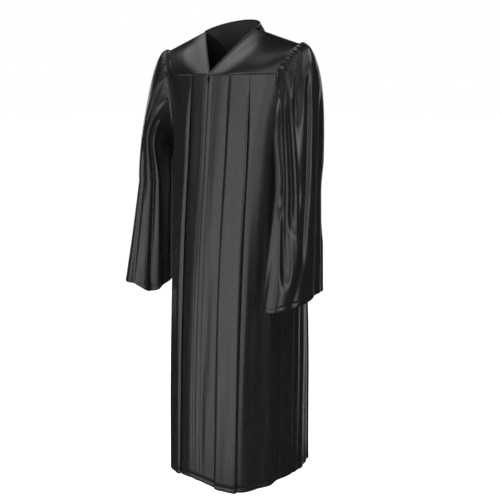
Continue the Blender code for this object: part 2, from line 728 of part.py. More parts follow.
def bar(centre, radius, length):
    """A closed cylinder along X."""
    mesh = bmesh.new()
    bmesh.ops.create_cone(
        mesh, cap_ends=True, segments=20, radius1=radius, radius2=radius, depth=length
    )
    bmesh.ops.rotate(mesh, matrix=Matrix.Rotation(pi / 2, 3, "Y"), verts=mesh.verts)
    bmesh.ops.translate(mesh, vec=centre, verts=mesh.verts)
    return mesh


def joined(name, first, others, finish, collection, helpers):
    """The first mesh with each of the others joined to it or cut from it."""
    made = finish_object(first, name, finish, collection)
    for index, (operation, mesh) in enumerate(others):
        helper = finish_object(mesh, f"{name}_{operation.lower()}_{index}", finish, helpers)
        helper.hide_render = True
        helper.display_type = "WIRE"
        step = made.modifiers.new(operation.title(), "BOOLEAN")
        step.operation = operation
        step.object = helper
    return made


def build_zip(metal, collection, helpers):
    """A slider at the point of the V and its pull tab, which swings on the slider's pin."""
    face_y = float(np.interp(SLIDER_TOP_Z - SLIDER_HEIGHT, *centre_front())) - SEAM_GAP
    front_y = face_y - SLIDER_DEPTH
    middle_z = SLIDER_TOP_Z - SLIDER_HEIGHT / 2
    pin = (0.0, front_y - LUG_REACH + EYE_RADIUS, middle_z - SLIDER_HEIGHT / 2 + LUG_HEIGHT / 2)
    lug_x = SLIDER_WIDTH / 2 - LUG_WIDTH / 2
    reach = LUG_REACH + SLIDER_DEPTH / 2
    lug_y = front_y + SLIDER_DEPTH / 2 - reach / 2
    lug_size = (LUG_WIDTH, reach, LUG_HEIGHT)
    added = [("UNION", box((side * lug_x, lug_y, pin[2]), lug_size)) for side in (-1, 1)]
    added.append(("UNION", bar(pin, PIN_RADIUS, SLIDER_WIDTH - LUG_WIDTH)))
    centre = (0.0, face_y - SLIDER_DEPTH / 2, middle_z)
    body = box(centre, (SLIDER_WIDTH, SLIDER_DEPTH, SLIDER_HEIGHT))
    joined("zip_slider", body, added, metal, collection, helpers)

    between = SLIDER_WIDTH - 2 * LUG_WIDTH - 2 * SEAM_GAP
    plate_top = pin[2] - EYE_RADIUS * PLATE_OVERLAP
    middle = (0.0, pin[1], plate_top - PULL_LENGTH / 2)
    plate = box(middle, (PULL_WIDTH, PULL_THICKNESS, PULL_LENGTH))
    pull = joined(
        "zip_pull",
        plate,
        [("UNION", bar(pin, EYE_RADIUS, between)), ("DIFFERENCE", bar(pin, EYE_HOLE_RADIUS, between * 2))],
        metal,
        collection,
        helpers,
    )
    hinge = bpy.data.objects.new("zip_pull_hinge", None)
    hinge.location = pin
    collection.objects.link(hinge)
    pull.parent = hinge
    pull.matrix_parent_inverse = hinge.matrix_basis.inverted()


def main():
    clear_scene()
    gown = bpy.data.collections.new("graduation_gown")
    helpers = bpy.data.collections.new("cutters")
    bpy.context.scene.collection.children.link(gown)
    bpy.context.scene.collection.children.link(helpers)
    cloth = material("satin_black", (0.012, 0.012, 0.013), 0.42)
    metal = material("zip_metal", (0.03, 0.03, 0.032), 0.35, 0.9)
    build_body(cloth, gown)
    build_yokes(cloth, gown)
    build_sleeves(cloth, gown)
    build_neck_edges(cloth, gown)
    build_fly(cloth, gown)
    build_zip(metal, gown, helpers)


main()
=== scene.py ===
"""The looks of a black satin graduation gown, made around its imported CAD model.

Metres, +Z up, the front towards -Y and the wearer's left towards +X, as in the CAD.
"""

from math import cos, pi, radians, sin

import bpy
import numpy as np
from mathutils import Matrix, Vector


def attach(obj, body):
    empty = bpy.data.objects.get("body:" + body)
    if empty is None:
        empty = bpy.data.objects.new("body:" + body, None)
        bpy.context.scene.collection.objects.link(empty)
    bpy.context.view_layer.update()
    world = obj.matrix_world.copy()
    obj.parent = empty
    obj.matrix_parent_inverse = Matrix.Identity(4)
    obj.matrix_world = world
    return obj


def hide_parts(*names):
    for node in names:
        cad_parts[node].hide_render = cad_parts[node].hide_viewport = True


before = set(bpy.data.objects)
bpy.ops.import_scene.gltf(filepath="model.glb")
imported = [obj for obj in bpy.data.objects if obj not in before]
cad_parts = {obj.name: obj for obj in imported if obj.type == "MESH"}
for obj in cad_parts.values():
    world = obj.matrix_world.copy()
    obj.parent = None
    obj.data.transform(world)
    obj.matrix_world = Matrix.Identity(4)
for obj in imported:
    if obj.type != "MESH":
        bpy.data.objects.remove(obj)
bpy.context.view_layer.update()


def named_rows(columns, *rows):
    """Rows with named columns."""
    names = columns.split()
    return tuple(dict(zip(names, row)) for row in rows)


# Cloth. Its outer side faces away from the point INSIDE
CLOTH = 0.0005
SEAM_GAP = 0.0003
TURN_IN = named_rows(
    "out height",
    (0.0006, -0.0001),
    (0.0010, -0.0006),
    (0.0007, -0.0012),
    (-0.0010, -0.0015),
    (-0.0060, -0.0017),
)
INSIDE = (0.0, 0.02, -0.20)

# Neck, shoulders and yokes
NECK_SIDE = (0.099, -0.009, -0.002)
NECK_BACK_Y = 0.062
NECK_BACK_RISE = 0.031
SHOULDER_TIP = (0.253, -0.005, -0.050)
YOKE_FRONT_Z = -0.127
YOKE_BACK_Z = -0.150
YOKE_FRONT_HALF = 0.210
YOKE_BACK_HALF = 0.212
YOKE_ROUNDING = 0.55
NECK_ROUNDING = 0.08
NECK_CORNER_ROUNDING = 0.72
ROUNDING_SHARE_FRONT = 0.5
ROUNDING_SHARE_BACK = 0.6
YOKE_ROWS = 40
SHOULDER_COLUMNS = 44
BACK_NECK_COLUMNS = 50
ARMHOLE_TURN_IN = (-0.25, 0.0, -0.97)
NECK_EDGE_HALF_WIDTH = 0.0028
NECK_EDGE_HALF_HEIGHT = 0.0016
NECK_EDGE_OUT = 0.0010
NECK_EDGE_UP = 0.0003
ROLL_SIDES = 16
ROLL_END = 0.02

# Body below the yokes
UNDERARM_Z = -0.335
HEM_Z = -1.335
HEM_DIP = 0.012
BODY_ROWS = 110
ROW_POWER = 1.15
COLUMN_SPACING = 0.0055
ARMHOLE_COLUMNS = 44
CORNER_ARC = 0.175
BODY_SECTIONS = named_rows(
    "z half_width front_y side_y back_y power",
    (-0.127, 0.2460, -0.094, 0.018, 0.126, 2.60),
    (-0.335, 0.2130, -0.112, 0.022, 0.146, 2.50),
    (-0.560, 0.2070, -0.134, 0.026, 0.180, 2.50),
    (-0.850, 0.2030, -0.154, 0.030, 0.215, 2.55),
    (-1.335, 0.1960, -0.172, 0.032, 0.235, 2.62),
)
SECTION_SAMPLES = 260
SECTION_LEVELS = 150
SECTIONS_BELOW = 0.03
SECTIONS_ABOVE = 0.01
SLOPE_STEP = 0.004

# Pressed box pleats, by their distance from the centre line along the cloth
PLEAT_RISE = 0.0068
PLEAT_TOP_RISE = 0.20
PLEAT_OPENS_IN = 0.16
PATH_STEPS = 2
FRONT_PLEATS = named_rows("inner outer", (0.0725, 0.1415))
BACK_PLEATS = named_rows("inner outer", (-0.040, 0.040), (0.088, 0.166))
ROLLED_EDGE = named_rows(
    "along height",
    (-0.0150, 0.00),
    (-0.0070, -0.12),
    (-0.0022, -0.38),
    (0.0040, -0.55),
    (0.0115, -0.40),
    (0.0132, -0.14),
    (0.0100, -0.04),
    (0.0045, 0.02),
    (0.0004, 0.10),
    (-0.0008, 0.24),
    (0.0006, 0.42),
    (0.0032, 0.62),
    (0.0062, 0.80),
    (0.0096, 0.94),
    (0.0130, 1.00),
)
CRISP_EDGE = named_rows(
    "along height",
    (-0.0150, 0.00),
    (-0.0060, -0.14),
    (0.0000, -0.30),
    (0.0070, -0.34),
    (0.0115, -0.22),
    (0.0125, -0.06),
    (0.0095, 0.08),
    (0.0040, 0.20),
    (0.0004, 0.32),
    (-0.0010, 0.50),
    (-0.0004, 0.68),
    (0.0012, 0.86),
    (0.0034, 1.00),
    (0.0062, 1.08),
    (0.0095, 1.05),
    (0.0135, 1.00),
)

# The front's centre edges, by the distance from the centre line and the height of the cloth
LAPPING_EDGE = named_rows(
    "along height",
    (0.0120, -0.0016),
    (0.0040, -0.0016),
    (-0.0018, -0.0010),
    (-0.0034, 0.0004),
    (-0.0026, 0.0019),
    (0.0006, 0.0027),
    (0.0050, 0.0024),
    (0.0105, 0.0016),
    (0.0128, 0.0010),
    (0.0140, 0.0001),
    (0.0152, 0.0009),
    (0.0200, 0.0005),
    (0.0280, 0.0000),
)
LAPPED_EDGE = named_rows(
    "along height",
    (0.0100, -0.0022),
    (0.0030, -0.0022),
    (0.0004, -0.0017),
    (-0.0004, -0.0010),
    (0.0004, -0.0002),
    (0.0040, 0.0006),
    (0.0100, 0.0012),
    (0.0138, 0.0018),
    (0.0160, 0.0014),
    (0.0168, 0.0002),
    (0.0182, -0.0006),
    (0.0210, 0.0000),
    (0.0280, 0.0000),
)

# Soft folds down the body. A negative depth is a ridge
FOLD_GROWS_IN = 0.35
SEAM_CALM = 0.030
FRONT_FOLDS = named_rows(
    "at width depth top lean",
    (0.050, 0.016, 0.0012, -0.30, 0.010),
    (0.120, 0.022, 0.0016, -0.22, -0.008),
    (0.172, 0.010, 0.0014, -0.26, 0.006),
    (0.199, 0.012, 0.0034, -0.40, 0.0),
    (0.226, 0.014, -0.0034, -0.55, 0.0),
    (0.254, 0.013, 0.0040, -0.55, 0.0),
    (0.285, 0.014, 0.0018, -0.50, 0.010),
)
BACK_FOLDS = named_rows(
    "at width depth top lean",
    (0.060, 0.012, 0.0040, -0.55, 0.0),
    (0.120, 0.018, 0.0018, -0.40, 0.006),
    (0.204, 0.014, 0.0060, -0.48, 0.0),
    (0.234, 0.013, 0.0070, -0.58, 0.0),
    (0.262, 0.011, 0.0050, -0.45, 0.0),
)
DRAPE_WAVES = named_rows(
    "length lean phase height",
    (0.083, 0.9, 0.4, 0.0009),
    (0.049, -1.4, 2.1, 0.0005),
    (0.027, 2.3, 4.0, 0.00022),
)
DRAPE_AT_TOP = 0.25
DRAPE_GROWS_IN = 0.9
DRAPE_LEAN = 4
DRAPE_SWAY = 0.8
DRAPE_SWAY_RATE = 3.1
BACK_SEEDS = (1.2, 3.6)
HEM_TURN_UP = named_rows(
    "up height",
    (0.0150, 0.0001),
    (0.0138, -0.0004),
    (0.0128, -0.0004),
    (0.0116, 0.0003),
    (0.0070, 0.0005),
    (0.0025, 0.0004),
    (0.0006, 0.0001),
    (0.0000, -0.0006),
    (0.0006, -0.0013),
    (0.0040, -0.0016),
    (0.0125, -0.0014),
)
SEAM_TUCK = named_rows(
    "down height",
    (-0.0050, -0.0030),
    (-0.0012, -0.0028),
    (0.0004, -0.0018),
    (0.0016, -0.0006),
    (0.0034, 0.0002),
    (0.0062, 0.0003),
    (0.0100, 0.0001),
)

# Fly and zip
FLY_HALF_WIDTH = 0.021
FLY_TOP_Z = -0.131
FLY_BOTTOM_Z = -1.300
FLY_DEPTH = 0.0040
FLY_ROWS = 120
FLY_COLUMNS = 15
ZIP_TOP_Z = -0.147
ZIP_BOTTOM_Z = -1.290
ZIP_PITCH = 0.0009
ZIP_OFFSET = 0.0007
ZIP_DEPTH = 0.0034
ZIP_TOOTH = (0.0022, 0.0009, 0.0006)
ZIP_TOOTH_FACES = ((0, 1, 3, 2), (4, 6, 7, 5), (0, 4, 5, 1), (2, 3, 7, 6), (0, 2, 6, 4), (1, 5, 7, 3))

# Sleeves. Turn 0 is the outer side, 90 degrees the front and 180 degrees the side by the body
CAP_ROWS = 90
CAP_POWER = 1.45
CAP_BOTTOM_Z = -0.450
CAP_SPREAD = 0.095
CAP_LIFT = 1.5
CAP_FALL = 1.15
CAP_TURNS_IN = 2.2
CAP_LEAVES = dict(seam=0.50, outward=0.62, side=0.45, down=-0.10, spread=1.1)
CAP_TUCK_BACK = 0.004
CAP_TUCK_IN = 0.0030
CAP_SEAM_DIP = 0.0016
CAP_SEAM_DIP_IN = 0.012
ARM_OUT = 0.12
FRONT_FULLNESS = 0.034
FRONT_FULLNESS_TURN = 118
FULLNESS_PEAK = 0.4**2 * 0.6**3
SLEEVE_ROWS = 52
SLEEVE_COLUMNS = 320
SLEEVE_SECTIONS = named_rows(
    "z x y half_width half_depth",
    (-0.450, 0.2750, -0.031, 0.0550, 0.0830),
    (-0.600, 0.2780, -0.043, 0.0570, 0.1000),
    (-0.755, 0.2800, -0.058, 0.0590, 0.1190),
)
CUFF_WAVES = named_rows(
    "side turn width drop",
    ("both", -35, 48, -0.026),
    ("both", 85, 45, 0.006),
    ("right", 148, 28, 0.036),
)
GATHERS = 20
GATHERS_EVEN_OUT = 0.30
GATHER_DEPTH = 0.0062
GATHER_VALLEY = 0.42
GATHER_PEAK_AT = 0.022
GATHER_WIDTH = 0.42
GATHER_RISE_POWER = 0.7
GATHER_FALL_POWER = 1.2
GATHER_FALLS_IN = 0.45
GATHER_REACH = dict(whole=0.20, mean=0.75, swing=0.45, rate=2.7, phase=0.5)
GATHER_SWAYS = named_rows(
    "size rate phase",
    (0.55, 1.7, 1.0),
    (0.30, 4.3, 0.0),
)
FOLD_GROWTH = 0.05
FOLD_STARTS_IN = 0.09
FOLD_ENDS_IN = 0.08
SLEEVE_FOLDS = named_rows(
    "side top bottom turns width depth",
    ("left", -0.095, -0.520, (53, 84, 86), 9, 0.0140),
    ("left", -0.440, -0.710, (86, 66, 50), 8, 0.0120),
    ("left", -0.160, -0.620, (57, 69, 58), 5, -0.0040),
    ("left", -0.145, -0.560, (50, 60, 48), 5, 0.0090),
    ("left", -0.115, -0.580, (45, 51, 38), 4, -0.0045),
    ("left", -0.100, -0.200, (34, 43, 51), 5, 0.0080),
    ("left", -0.075, -0.270, (17, 34, 41), 5, 0.0105),
    ("left", -0.072, -0.140, (9, 12, 16), 4, 0.0060),
    ("left", -0.100, -0.660, (5, 20, 22), 7, 0.0100),
    ("left", -0.100, -0.400, (-2, 1, 4), 4, 0.0045),
    ("left", -0.150, -0.860, (344, 346, 342), 8, 0.0070),
    ("left", -0.140, -0.900, (78, 104, 119), 9, -0.0055),
    ("left", -0.380, -0.760, (34, 31, 28), 8, -0.0030),
    ("left", -0.580, -0.860, (20, 32, 46), 7, 0.0070),
    ("right", -0.200, -0.900, (101, 123, 139), 9, -0.0060),
    ("right", -0.220, -0.900, (111, 135, 151), 4, 0.0080),
    ("right", -0.220, -0.900, (119, 147, 163), 5, -0.0070),
    ("right", -0.300, -0.900, (84, 98, 112), 8, 0.0060),
    ("right", -0.080, -0.300, (35, 70, 90), 6, 0.0070),
    ("right", -0.120, -0.260, (58, 84, 104), 5, 0.0060),
    ("right", -0.300, -0.900, (165, 172, 184), 8, -0.0060),
    ("both", -0.360, -0.800, (212, 214, 216), 14, 0.0070),
    ("both", -0.200, -0.900, (250, 247, 244), 13, 0.0090),
    ("both", -0.120, -0.600, (288, 290, 292), 12, 0.0100),
    ("both", -0.360, -0.900, (320, 317, 314), 12, 0.0090),
)

# Finishes. The reverse is the satin's duller inner side. Its lighter colour is partly painted fill light,
# which lifts the shaded inside of the neck
SATINS = named_rows(
    "name colour roughness",
    ("black_satin", (0.009, 0.009, 0.0094), 0.28),
    ("rolled_satin", (0.016, 0.016, 0.017), 0.24),
    ("tape_satin", (0.008, 0.008, 0.008), 0.5),
)
REVERSE = "satin_reverse_painted_fill"
# Painted fill light: the inner side's colour is lightened so the shaded inside of the neck looks lit
REVERSE_PAINTED_FILL_COLOUR = (0.032, 0.032, 0.034)
REVERSE_ROUGHNESS = 0.6
PLAIN_FINISHES = named_rows(
    "name colour roughness metallic",
    ("zip_enamel", (0.02, 0.02, 0.021), 0.32, 0.85),
    ("thread", (0.03, 0.03, 0.031), 0.45, 0.0),
)
SATIN_SOCKETS = {
    "Specular IOR Level": 0.55,
    "Anisotropic": 0.45,
    "Sheen Weight": 0.03,
    "Sheen Roughness": 0.35,
    "Sheen Tint": (0.85, 0.87, 0.9, 1.0),
}
REVERSE_SOCKETS = {**SATIN_SOCKETS, "Anisotropic": 0.0, "Specular IOR Level": 0.3}
SATIN_NOISES = named_rows(
    "name scale detail roughness distance strength",
    ("crumple", (34.0, 7.0, 1.0), 3.0, 0.45, 0.0010, 0.22),
    ("slubs", (260.0, 9.0, 1.0), 3.0, 0.5, 0.00012, 0.35),
    ("yarn", (2600.0, 420.0, 1.0), 2.0, 0.5, 0.00004, 0.30),
)
SLUB_SHADES = (0.82, 1.22)
CRUMPLE_RANGE = (0.3, 0.7)
GLOSSIER = 0.035
DULLER = 0.045
GRAIN = dict(scale=900.0, detail=3.0, shades=(0.75, 1.3), gloss=0.08, distance=0.00003, strength=0.4)

# The colour mix node's two inputs and its output, by number because its sockets share their names
MIX_A = 6
MIX_B = 7
MIX_RESULT = 2

# Sewing
STITCH_LENGTH = 0.0024
STITCH_PITCH = 0.0033
STITCH_RADIUS = 0.00028
STITCH_SIDES = 5
STITCH_SHAPE = named_rows(
    "share lift size",
    (0.00, -0.6, 0.5),
    (0.18, 0.4, 1.0),
    (0.50, 0.8, 1.0),
    (0.82, 0.4, 1.0),
    (1.00, -0.6, 0.5),
)
STITCHED_UP = 0.0128

# The fronts: the fold and stitches of the centre edge, and where the drape's waves begin
FRONTS = named_rows(
    "side edge stitched_at seed",
    ("left", LAPPING_EDGE, 0.0140, 0.0),
    ("right", LAPPED_EDGE, 0.0168, 2.4),
)

# The view of the photograph
IMAGE_WIDTH = 500
FOCAL_PIXELS = 803
SENSOR = 36.0
VIEW_TURN = 40.8
VIEW_DOWN = 10.8
VIEW_DISTANCE = 2.4
VIEW_SIDE = 0.053
VIEW_HEIGHT = -0.191

# The floor
FLOOR_Z = -1.75
FLOOR_HALF = 60.0
FLOOR_SOCKETS = {"Base Color": (0.93, 0.93, 0.93, 1.0), "Roughness": 0.9, "Specular IOR Level": 0.0}

# Lights. Azimuth runs from the front towards the wearer's left; aim is a level
LIGHTS = named_rows(
    "name azimuth elevation distance width height radiance aim",
    ("front_right", -28, 0, 3.0, 0.7, 3.4, 2.0, -0.9),
    ("front", -12, 0, 3.0, 0.7, 3.4, 1.6, -0.9),
    ("centre", 4, 0, 3.0, 0.7, 3.4, 2.2, -0.9),
    ("near_front", 20, 0, 3.0, 0.7, 3.4, 1.2, -0.9),
    ("camera_left", 34, 0, 3.0, 0.6, 3.4, 1.8, -0.9),
    ("camera_right", 66, 10, 3.0, 0.7, 1.5, 4.0, -0.5),
    ("left", -107, 0, 3.0, 0.7, 2.2, 1.8, -0.5),
    ("back", -174, 0, 3.0, 0.9, 3.4, 0.7, -0.9),
    ("back_left", -146, 0, 3.0, 0.9, 3.4, 1.1, -0.9),
    ("left_high", -72, 48, 2.8, 1.6, 1.2, 1.8, -0.35),
    ("front_high", -10, 48, 2.8, 0.9, 0.9, 1.2, -0.35),
    ("camera_high", 40, 50, 2.8, 1.2, 1.2, 1.7, -0.35),
    ("right_high", 92, 50, 2.8, 1.3, 1.2, 5.5, -0.35),
    ("back_high", -165, 48, 2.8, 0.9, 0.9, 5.0, -0.35),
)
FLOOR_WASH = 3.5
FLOOR_WASH_ANGLE = 60
BACKGROUND = 1.0


def column(rows, name):
    return np.array([row[name] for row in rows])


def smooth_table(rows, key, name, at):
    """A column of a table as a smooth curve of its key column, read at one or many places."""
    keys, values = column(rows, key), column(rows, name)
    order = np.argsort(keys)
    keys, values = keys[order], values[order]
    slopes = np.gradient(values, keys)
    place = np.clip(at, keys[0], keys[-1])
    index = np.clip(np.searchsorted(keys, place) - 1, 0, len(keys) - 2)
    span = keys[index + 1] - keys[index]
    t = (place - keys[index]) / span
    start = values[index] * (1 + 2 * t) * (1 - t) ** 2 + slopes[index] * span * t * (1 - t) ** 2
    end = values[index + 1] * t**2 * (3 - 2 * t) - slopes[index + 1] * span * t**2 * (1 - t)
    return start + end


def unit(vectors):
    return vectors / np.linalg.norm(vectors, axis=-1, keepdims=True)


def smooth_step(x):
    x = np.clip(x, 0.0, 1.0)
    return x * x * (3 - 2 * x)


def arc_lengths(path):
    """Each point's distance along a path from its first point."""
    steps = np.linalg.norm(np.diff(path, axis=0), axis=1)
    return np.concatenate([[0], np.cumsum(steps)])


def read_path(rows, arc, at):
    """A path's points, or its directions, at some distances along it."""
    return np.stack([np.interp(at, arc, rows[:, axis]) for axis in range(3)], 1)


def rounded_path(points):
    """Points along a smooth curve through the given ones."""
    ends = np.concatenate([[2 * points[0] - points[1]], points, [2 * points[-1] - points[-2]]])
    made = []
    for i in range(len(points) - 1):
        a, b, c, d = ends[i : i + 4]
        for t in np.arange(PATH_STEPS) / PATH_STEPS:
            curve = 2 * b + (c - a) * t + (2 * a - 5 * b + 4 * c - d) * t**2
            made.append(0.5 * (curve + (3 * b - a - 3 * c + d) * t**3))
    made.append(points[-1])
    return np.array(made)


def section_table(back):
    """The body's section at many levels, one quarter of it from the centre line to the side."""
    lowest, highest = BODY_SECTIONS[-1]["z"] - SECTIONS_BELOW, BODY_SECTIONS[0]["z"] + SECTIONS_ABOVE
    z = np.linspace(lowest, highest, SECTION_LEVELS)
    half_width, side, centre, power = (
        smooth_table(BODY_SECTIONS, "z", name, z)[:, None]
        for name in ("half_width", "side_y", "back_y" if back else "front_y", "power")
    )
    turn = np.linspace(0, pi / 2, SECTION_SAMPLES)[None]
    x = half_width * np.sin(turn) ** (2 / power)
    y = side + (centre - side) * np.cos(turn) ** (2 / power)
    steps = np.hypot(np.diff(x, axis=1), np.diff(y, axis=1))
    arc = np.concatenate([np.zeros((len(z), 1)), np.cumsum(steps, axis=1)], axis=1)
    return dict(z=z, x=x, y=y, arc=arc, back=back)


FRONT_TABLE = section_table(False)
BACK_TABLE = section_table(True)


def section_at(table, z):
    """The section's x, y and arc at one level."""
    found = []
    for key in ("x", "y", "arc"):
        high = int(np.clip(np.searchsorted(table["z"], z), 1, len(table["z"]) - 1))
        share = (z - table["z"][high - 1]) / (table["z"][high] - table["z"][high - 1])
        found.append(table[key][high - 1] * (1 - share) + table[key][high] * share)
    return found


def whole_arc(table):
    """How far along the cloth the side seam is from the centre line."""
    return section_at(table, UNDERARM_Z)[2][-1]


def change(place, arc, values):
    """How much a section's x or y changes across a short way along it."""
    return np.interp(place + SLOPE_STEP, arc, values) - np.interp(place - SLOPE_STEP, arc, values)


def on_body(arcs, z, table):
    """Points on the body's plain surface, and outward directions, for columns at distances from the
    centre line and a grid of levels. Past the corner the cloth spreads to the side."""
    size = np.abs(arcs)
    sign = np.where(arcs < 0, -1.0, 1.0)
    spread = np.maximum(0, size - CORNER_ARC) / (whole_arc(table) - CORNER_ARC)
    levels = len(table["z"])
    maps = {name: np.empty((levels, len(arcs))) for name in ("x", "y", "out_x", "out_y")}
    for level in range(levels):
        x, y, arc = (table[key][level] for key in ("x", "y", "arc"))
        place = np.minimum(size, CORNER_ARC) + spread * (arc[-1] - CORNER_ARC)
        maps["x"][level] = np.interp(place, arc, x)
        maps["y"][level] = np.interp(place, arc, y)
        along_x, along_y = change(place, arc, x), change(place, arc, y)
        maps["out_x"][level] = -along_y if table["back"] else along_y
        maps["out_y"][level] = along_x if table["back"] else -along_x
    read = {name: np.empty_like(z) for name in maps}
    for name, grid in maps.items():
        for i in range(len(arcs)):
            read[name][:, i] = np.interp(z[:, i], table["z"], grid[:, i])
    points = np.stack([read["x"] * sign, read["y"], z], -1)
    out = unit(np.stack([read["out_x"] * sign, read["out_y"], np.zeros_like(z)], -1))
    return points, out


def corner_arc(table, half, seam_z):
    """How far along the cloth the armhole's lower corner is from the centre line."""
    x, _, arc = section_at(table, seam_z)
    spread = (arc[-1] - CORNER_ARC) / (whole_arc(table) - CORNER_ARC)
    return CORNER_ARC + (np.interp(half, x, arc) - CORNER_ARC) / spread


def armhole_shares(first):
    """Shares of the way from the armhole's corner to the side seam, closest by the corner."""
    return 1 - np.cos(pi / 2 * np.arange(first, ARMHOLE_COLUMNS + 1) / ARMHOLE_COLUMNS)


def panel_top(arcs, corner, whole, seam_z):
    """The level of a panel's upper edge: the yoke seam, then a quarter round of the armhole."""
    share = np.clip((np.abs(arcs) - corner) / (whole - corner), 0, 1)
    return seam_z + (UNDERARM_Z - seam_z) * np.sqrt(1 - (1 - share) ** 2)


def hem_level(arcs, table):
    """The hem hangs lowest at the four corners."""
    level = np.full((1, len(arcs)), HEM_Z)
    points, _ = on_body(arcs, level, table)
    turn = np.arctan2(np.abs(points[0, :, 0]), np.abs(points[0, :, 1]))
    return HEM_Z - HEM_DIP * np.sin(2 * turn) ** 2


def even_places(low, high):
    """Places between two others, without them."""
    count = max(1, round((high - low) / COLUMN_SPACING))
    return [low + (high - low) * i / count for i in range(1, count)]


def edge_stations(edge, at, side):
    """Places and heights round one folded edge of a pleat. side is 1 at its inner edge."""
    true_size = np.array([1.0, PLEAT_RISE])
    path = np.stack([at + side * column(edge, "along"), column(edge, "height")], 1)
    path = rounded_path(path * true_size) / true_size
    return path if side > 0 else path[::-1]


def panel_stations(pleats, corner, whole, centre_edge):
    """The path of the cloth across a panel: each place from the centre, a plain height, and a
    height that grows with the pleats."""
    rows = [(0.0, 0.0, 1.0)]
    if centre_edge is not None:
        path = rounded_path(np.stack([column(centre_edge, "along"), column(centre_edge, "height")], 1))
        rows = [(place, height, 0.0) for place, height in path]
    for pleat in pleats:
        if pleat["inner"] > 0:
            path = edge_stations(ROLLED_EDGE, pleat["inner"], 1)
            rows += [(place, 0.0, 0.0) for place in even_places(rows[-1][0], path[0, 0])]
            rows += [(place, 0.0, height) for place, height in path]
        path = edge_stations(CRISP_EDGE, pleat["outer"], -1)
        rows += [(place, 0.0, 1.0) for place in even_places(rows[-1][0], path[0, 0])]
        rows += [(place, 0.0, height) for place, height in path]
    rows += [(place, 0.0, 0.0) for place in even_places(rows[-1][0], corner)]
    rows += [(corner + (whole - corner) * share, 0.0, 0.0) for share in armhole_shares(0)]
    return np.array(rows)


def fold_depth(arcs, z, folds):
    """How far the soft folds go in."""
    depth = np.zeros_like(z)
    for fold in folds:
        grow = smooth_step((fold["top"] - z) / FOLD_GROWS_IN)
        at = fold["at"] + fold["lean"] * (fold["top"] - z)
        depth += fold["depth"] * grow * np.exp(-(((arcs - at) / fold["width"]) ** 2))
    return depth


def drape(arcs, z, top, seed):
    """Slight waves down the cloth, stronger towards the hem."""
    grow = DRAPE_AT_TOP + (1 - DRAPE_AT_TOP) * smooth_step((top - z) / DRAPE_GROWS_IN)
    height = np.zeros_like(z)
    for wave in DRAPE_WAVES:
        turn = 2 * pi * arcs / wave["length"] + wave["lean"] * z * DRAPE_LEAN + wave["phase"] + seed
        height += wave["height"] * np.sin(turn + DRAPE_SWAY * np.sin(DRAPE_SWAY_RATE * z + seed))
    return height * grow


def panel_levels(top, hem):
    """A panel's levels: its tuck at the upper seam, even rows, and the turned-up hem."""
    tuck, turned = column(SEAM_TUCK, "down"), column(HEM_TURN_UP, "up")
    start, end = top - tuck[-1], hem + turned[0]
    middle = (np.arange(1, BODY_ROWS) / BODY_ROWS) ** ROW_POWER
    even = start[None] + (end - start)[None] * middle[:, None]
    return np.concatenate([top[None] - tuck[:, None], even, hem[None] + turned[:, None]])


def panel_grid(table, centre_edge, seed):
    """Half a panel on the wearer's left: its cloth's points, the plain outward directions and the
    columns' distances from the centre line."""
    back = table["back"]
    seam_z = YOKE_BACK_Z if back else YOKE_FRONT_Z
    corner = corner_arc(table, YOKE_BACK_HALF if back else YOKE_FRONT_HALF, seam_z)
    whole = whole_arc(table)
    stations = panel_stations(BACK_PLEATS if back else FRONT_PLEATS, corner, whole, centre_edge)
    arcs = stations[:, 0]
    top = panel_top(arcs, corner, whole, seam_z)
    z = panel_levels(top, hem_level(arcs, table))
    level = np.minimum(z, top[None])
    points, out = on_body(arcs, level, table)
    points[..., 2] = z
    opened = PLEAT_TOP_RISE + (1 - PLEAT_TOP_RISE) * smooth_step((top - level) / PLEAT_OPENS_IN)
    height = stations[:, 1] + stations[:, 2] * PLEAT_RISE * opened
    inner = smooth_step((whole - arcs) / SEAM_CALM)
    height -= inner * fold_depth(arcs, level, BACK_FOLDS if back else FRONT_FOLDS)
    height += inner * drape(arcs, level, top, seed)
    height[: len(SEAM_TUCK)] += column(SEAM_TUCK, "height")[:, None]
    height[-len(HEM_TURN_UP) :] += column(HEM_TURN_UP, "height")[:, None]
    return points + out * height[..., None], out, arcs


def mirrored(points):
    return points * np.array([-1.0, 1.0, 1.0])


def on_side(points, side):
    """Points or directions of the left side, or the same on the right."""
    return mirrored(points) if side == "right" else points


def shoulder_line():
    share = np.linspace(0, 1, SHOULDER_COLUMNS + 1)[:, None]
    return np.array(NECK_SIDE) * (1 - share) + np.array(SHOULDER_TIP) * share


def rounded_rows(top, bottom, rounding):
    """Rows from a shoulder seam down to a yoke seam. More rounding meets it more upright."""
    rows = []
    for share in np.linspace(0, 1, YOKE_ROWS + 1):
        out = share + rounding * (sin(share * pi / 2) - share)
        down = share + rounding * ((1 - cos(share * pi / 2)) - share)
        rows.append(top + (bottom - top) * np.stack([np.full_like(out, share), out, down], 1))
    return np.array(rows)


def front_yoke_grid():
    """The left front yoke, from the neck to the armhole."""
    full = smooth_step(np.linspace(0, 1, SHOULDER_COLUMNS + 1) / ROUNDING_SHARE_FRONT)
    rounding = NECK_ROUNDING + (YOKE_ROUNDING - NECK_ROUNDING) * full
    x, y, arc = section_at(FRONT_TABLE, YOKE_FRONT_Z)
    places = np.linspace(0, np.interp(YOKE_FRONT_HALF, x, arc), SHOULDER_COLUMNS + 1)
    level = np.full(SHOULDER_COLUMNS + 1, YOKE_FRONT_Z)
    bottom = np.stack([np.interp(places, arc, x), np.interp(places, arc, y), level], 1)
    return rounded_rows(shoulder_line(), bottom, rounding)


def back_neck_line():
    turn = np.linspace(0, pi, BACK_NECK_COLUMNS + 1)
    depth = NECK_BACK_Y - NECK_SIDE[1]
    x = NECK_SIDE[0] * np.cos(turn)
    y = NECK_SIDE[1] + depth * np.sin(turn)
    return np.stack([x, y, NECK_SIDE[2] + NECK_BACK_RISE * np.sin(turn)], 1)


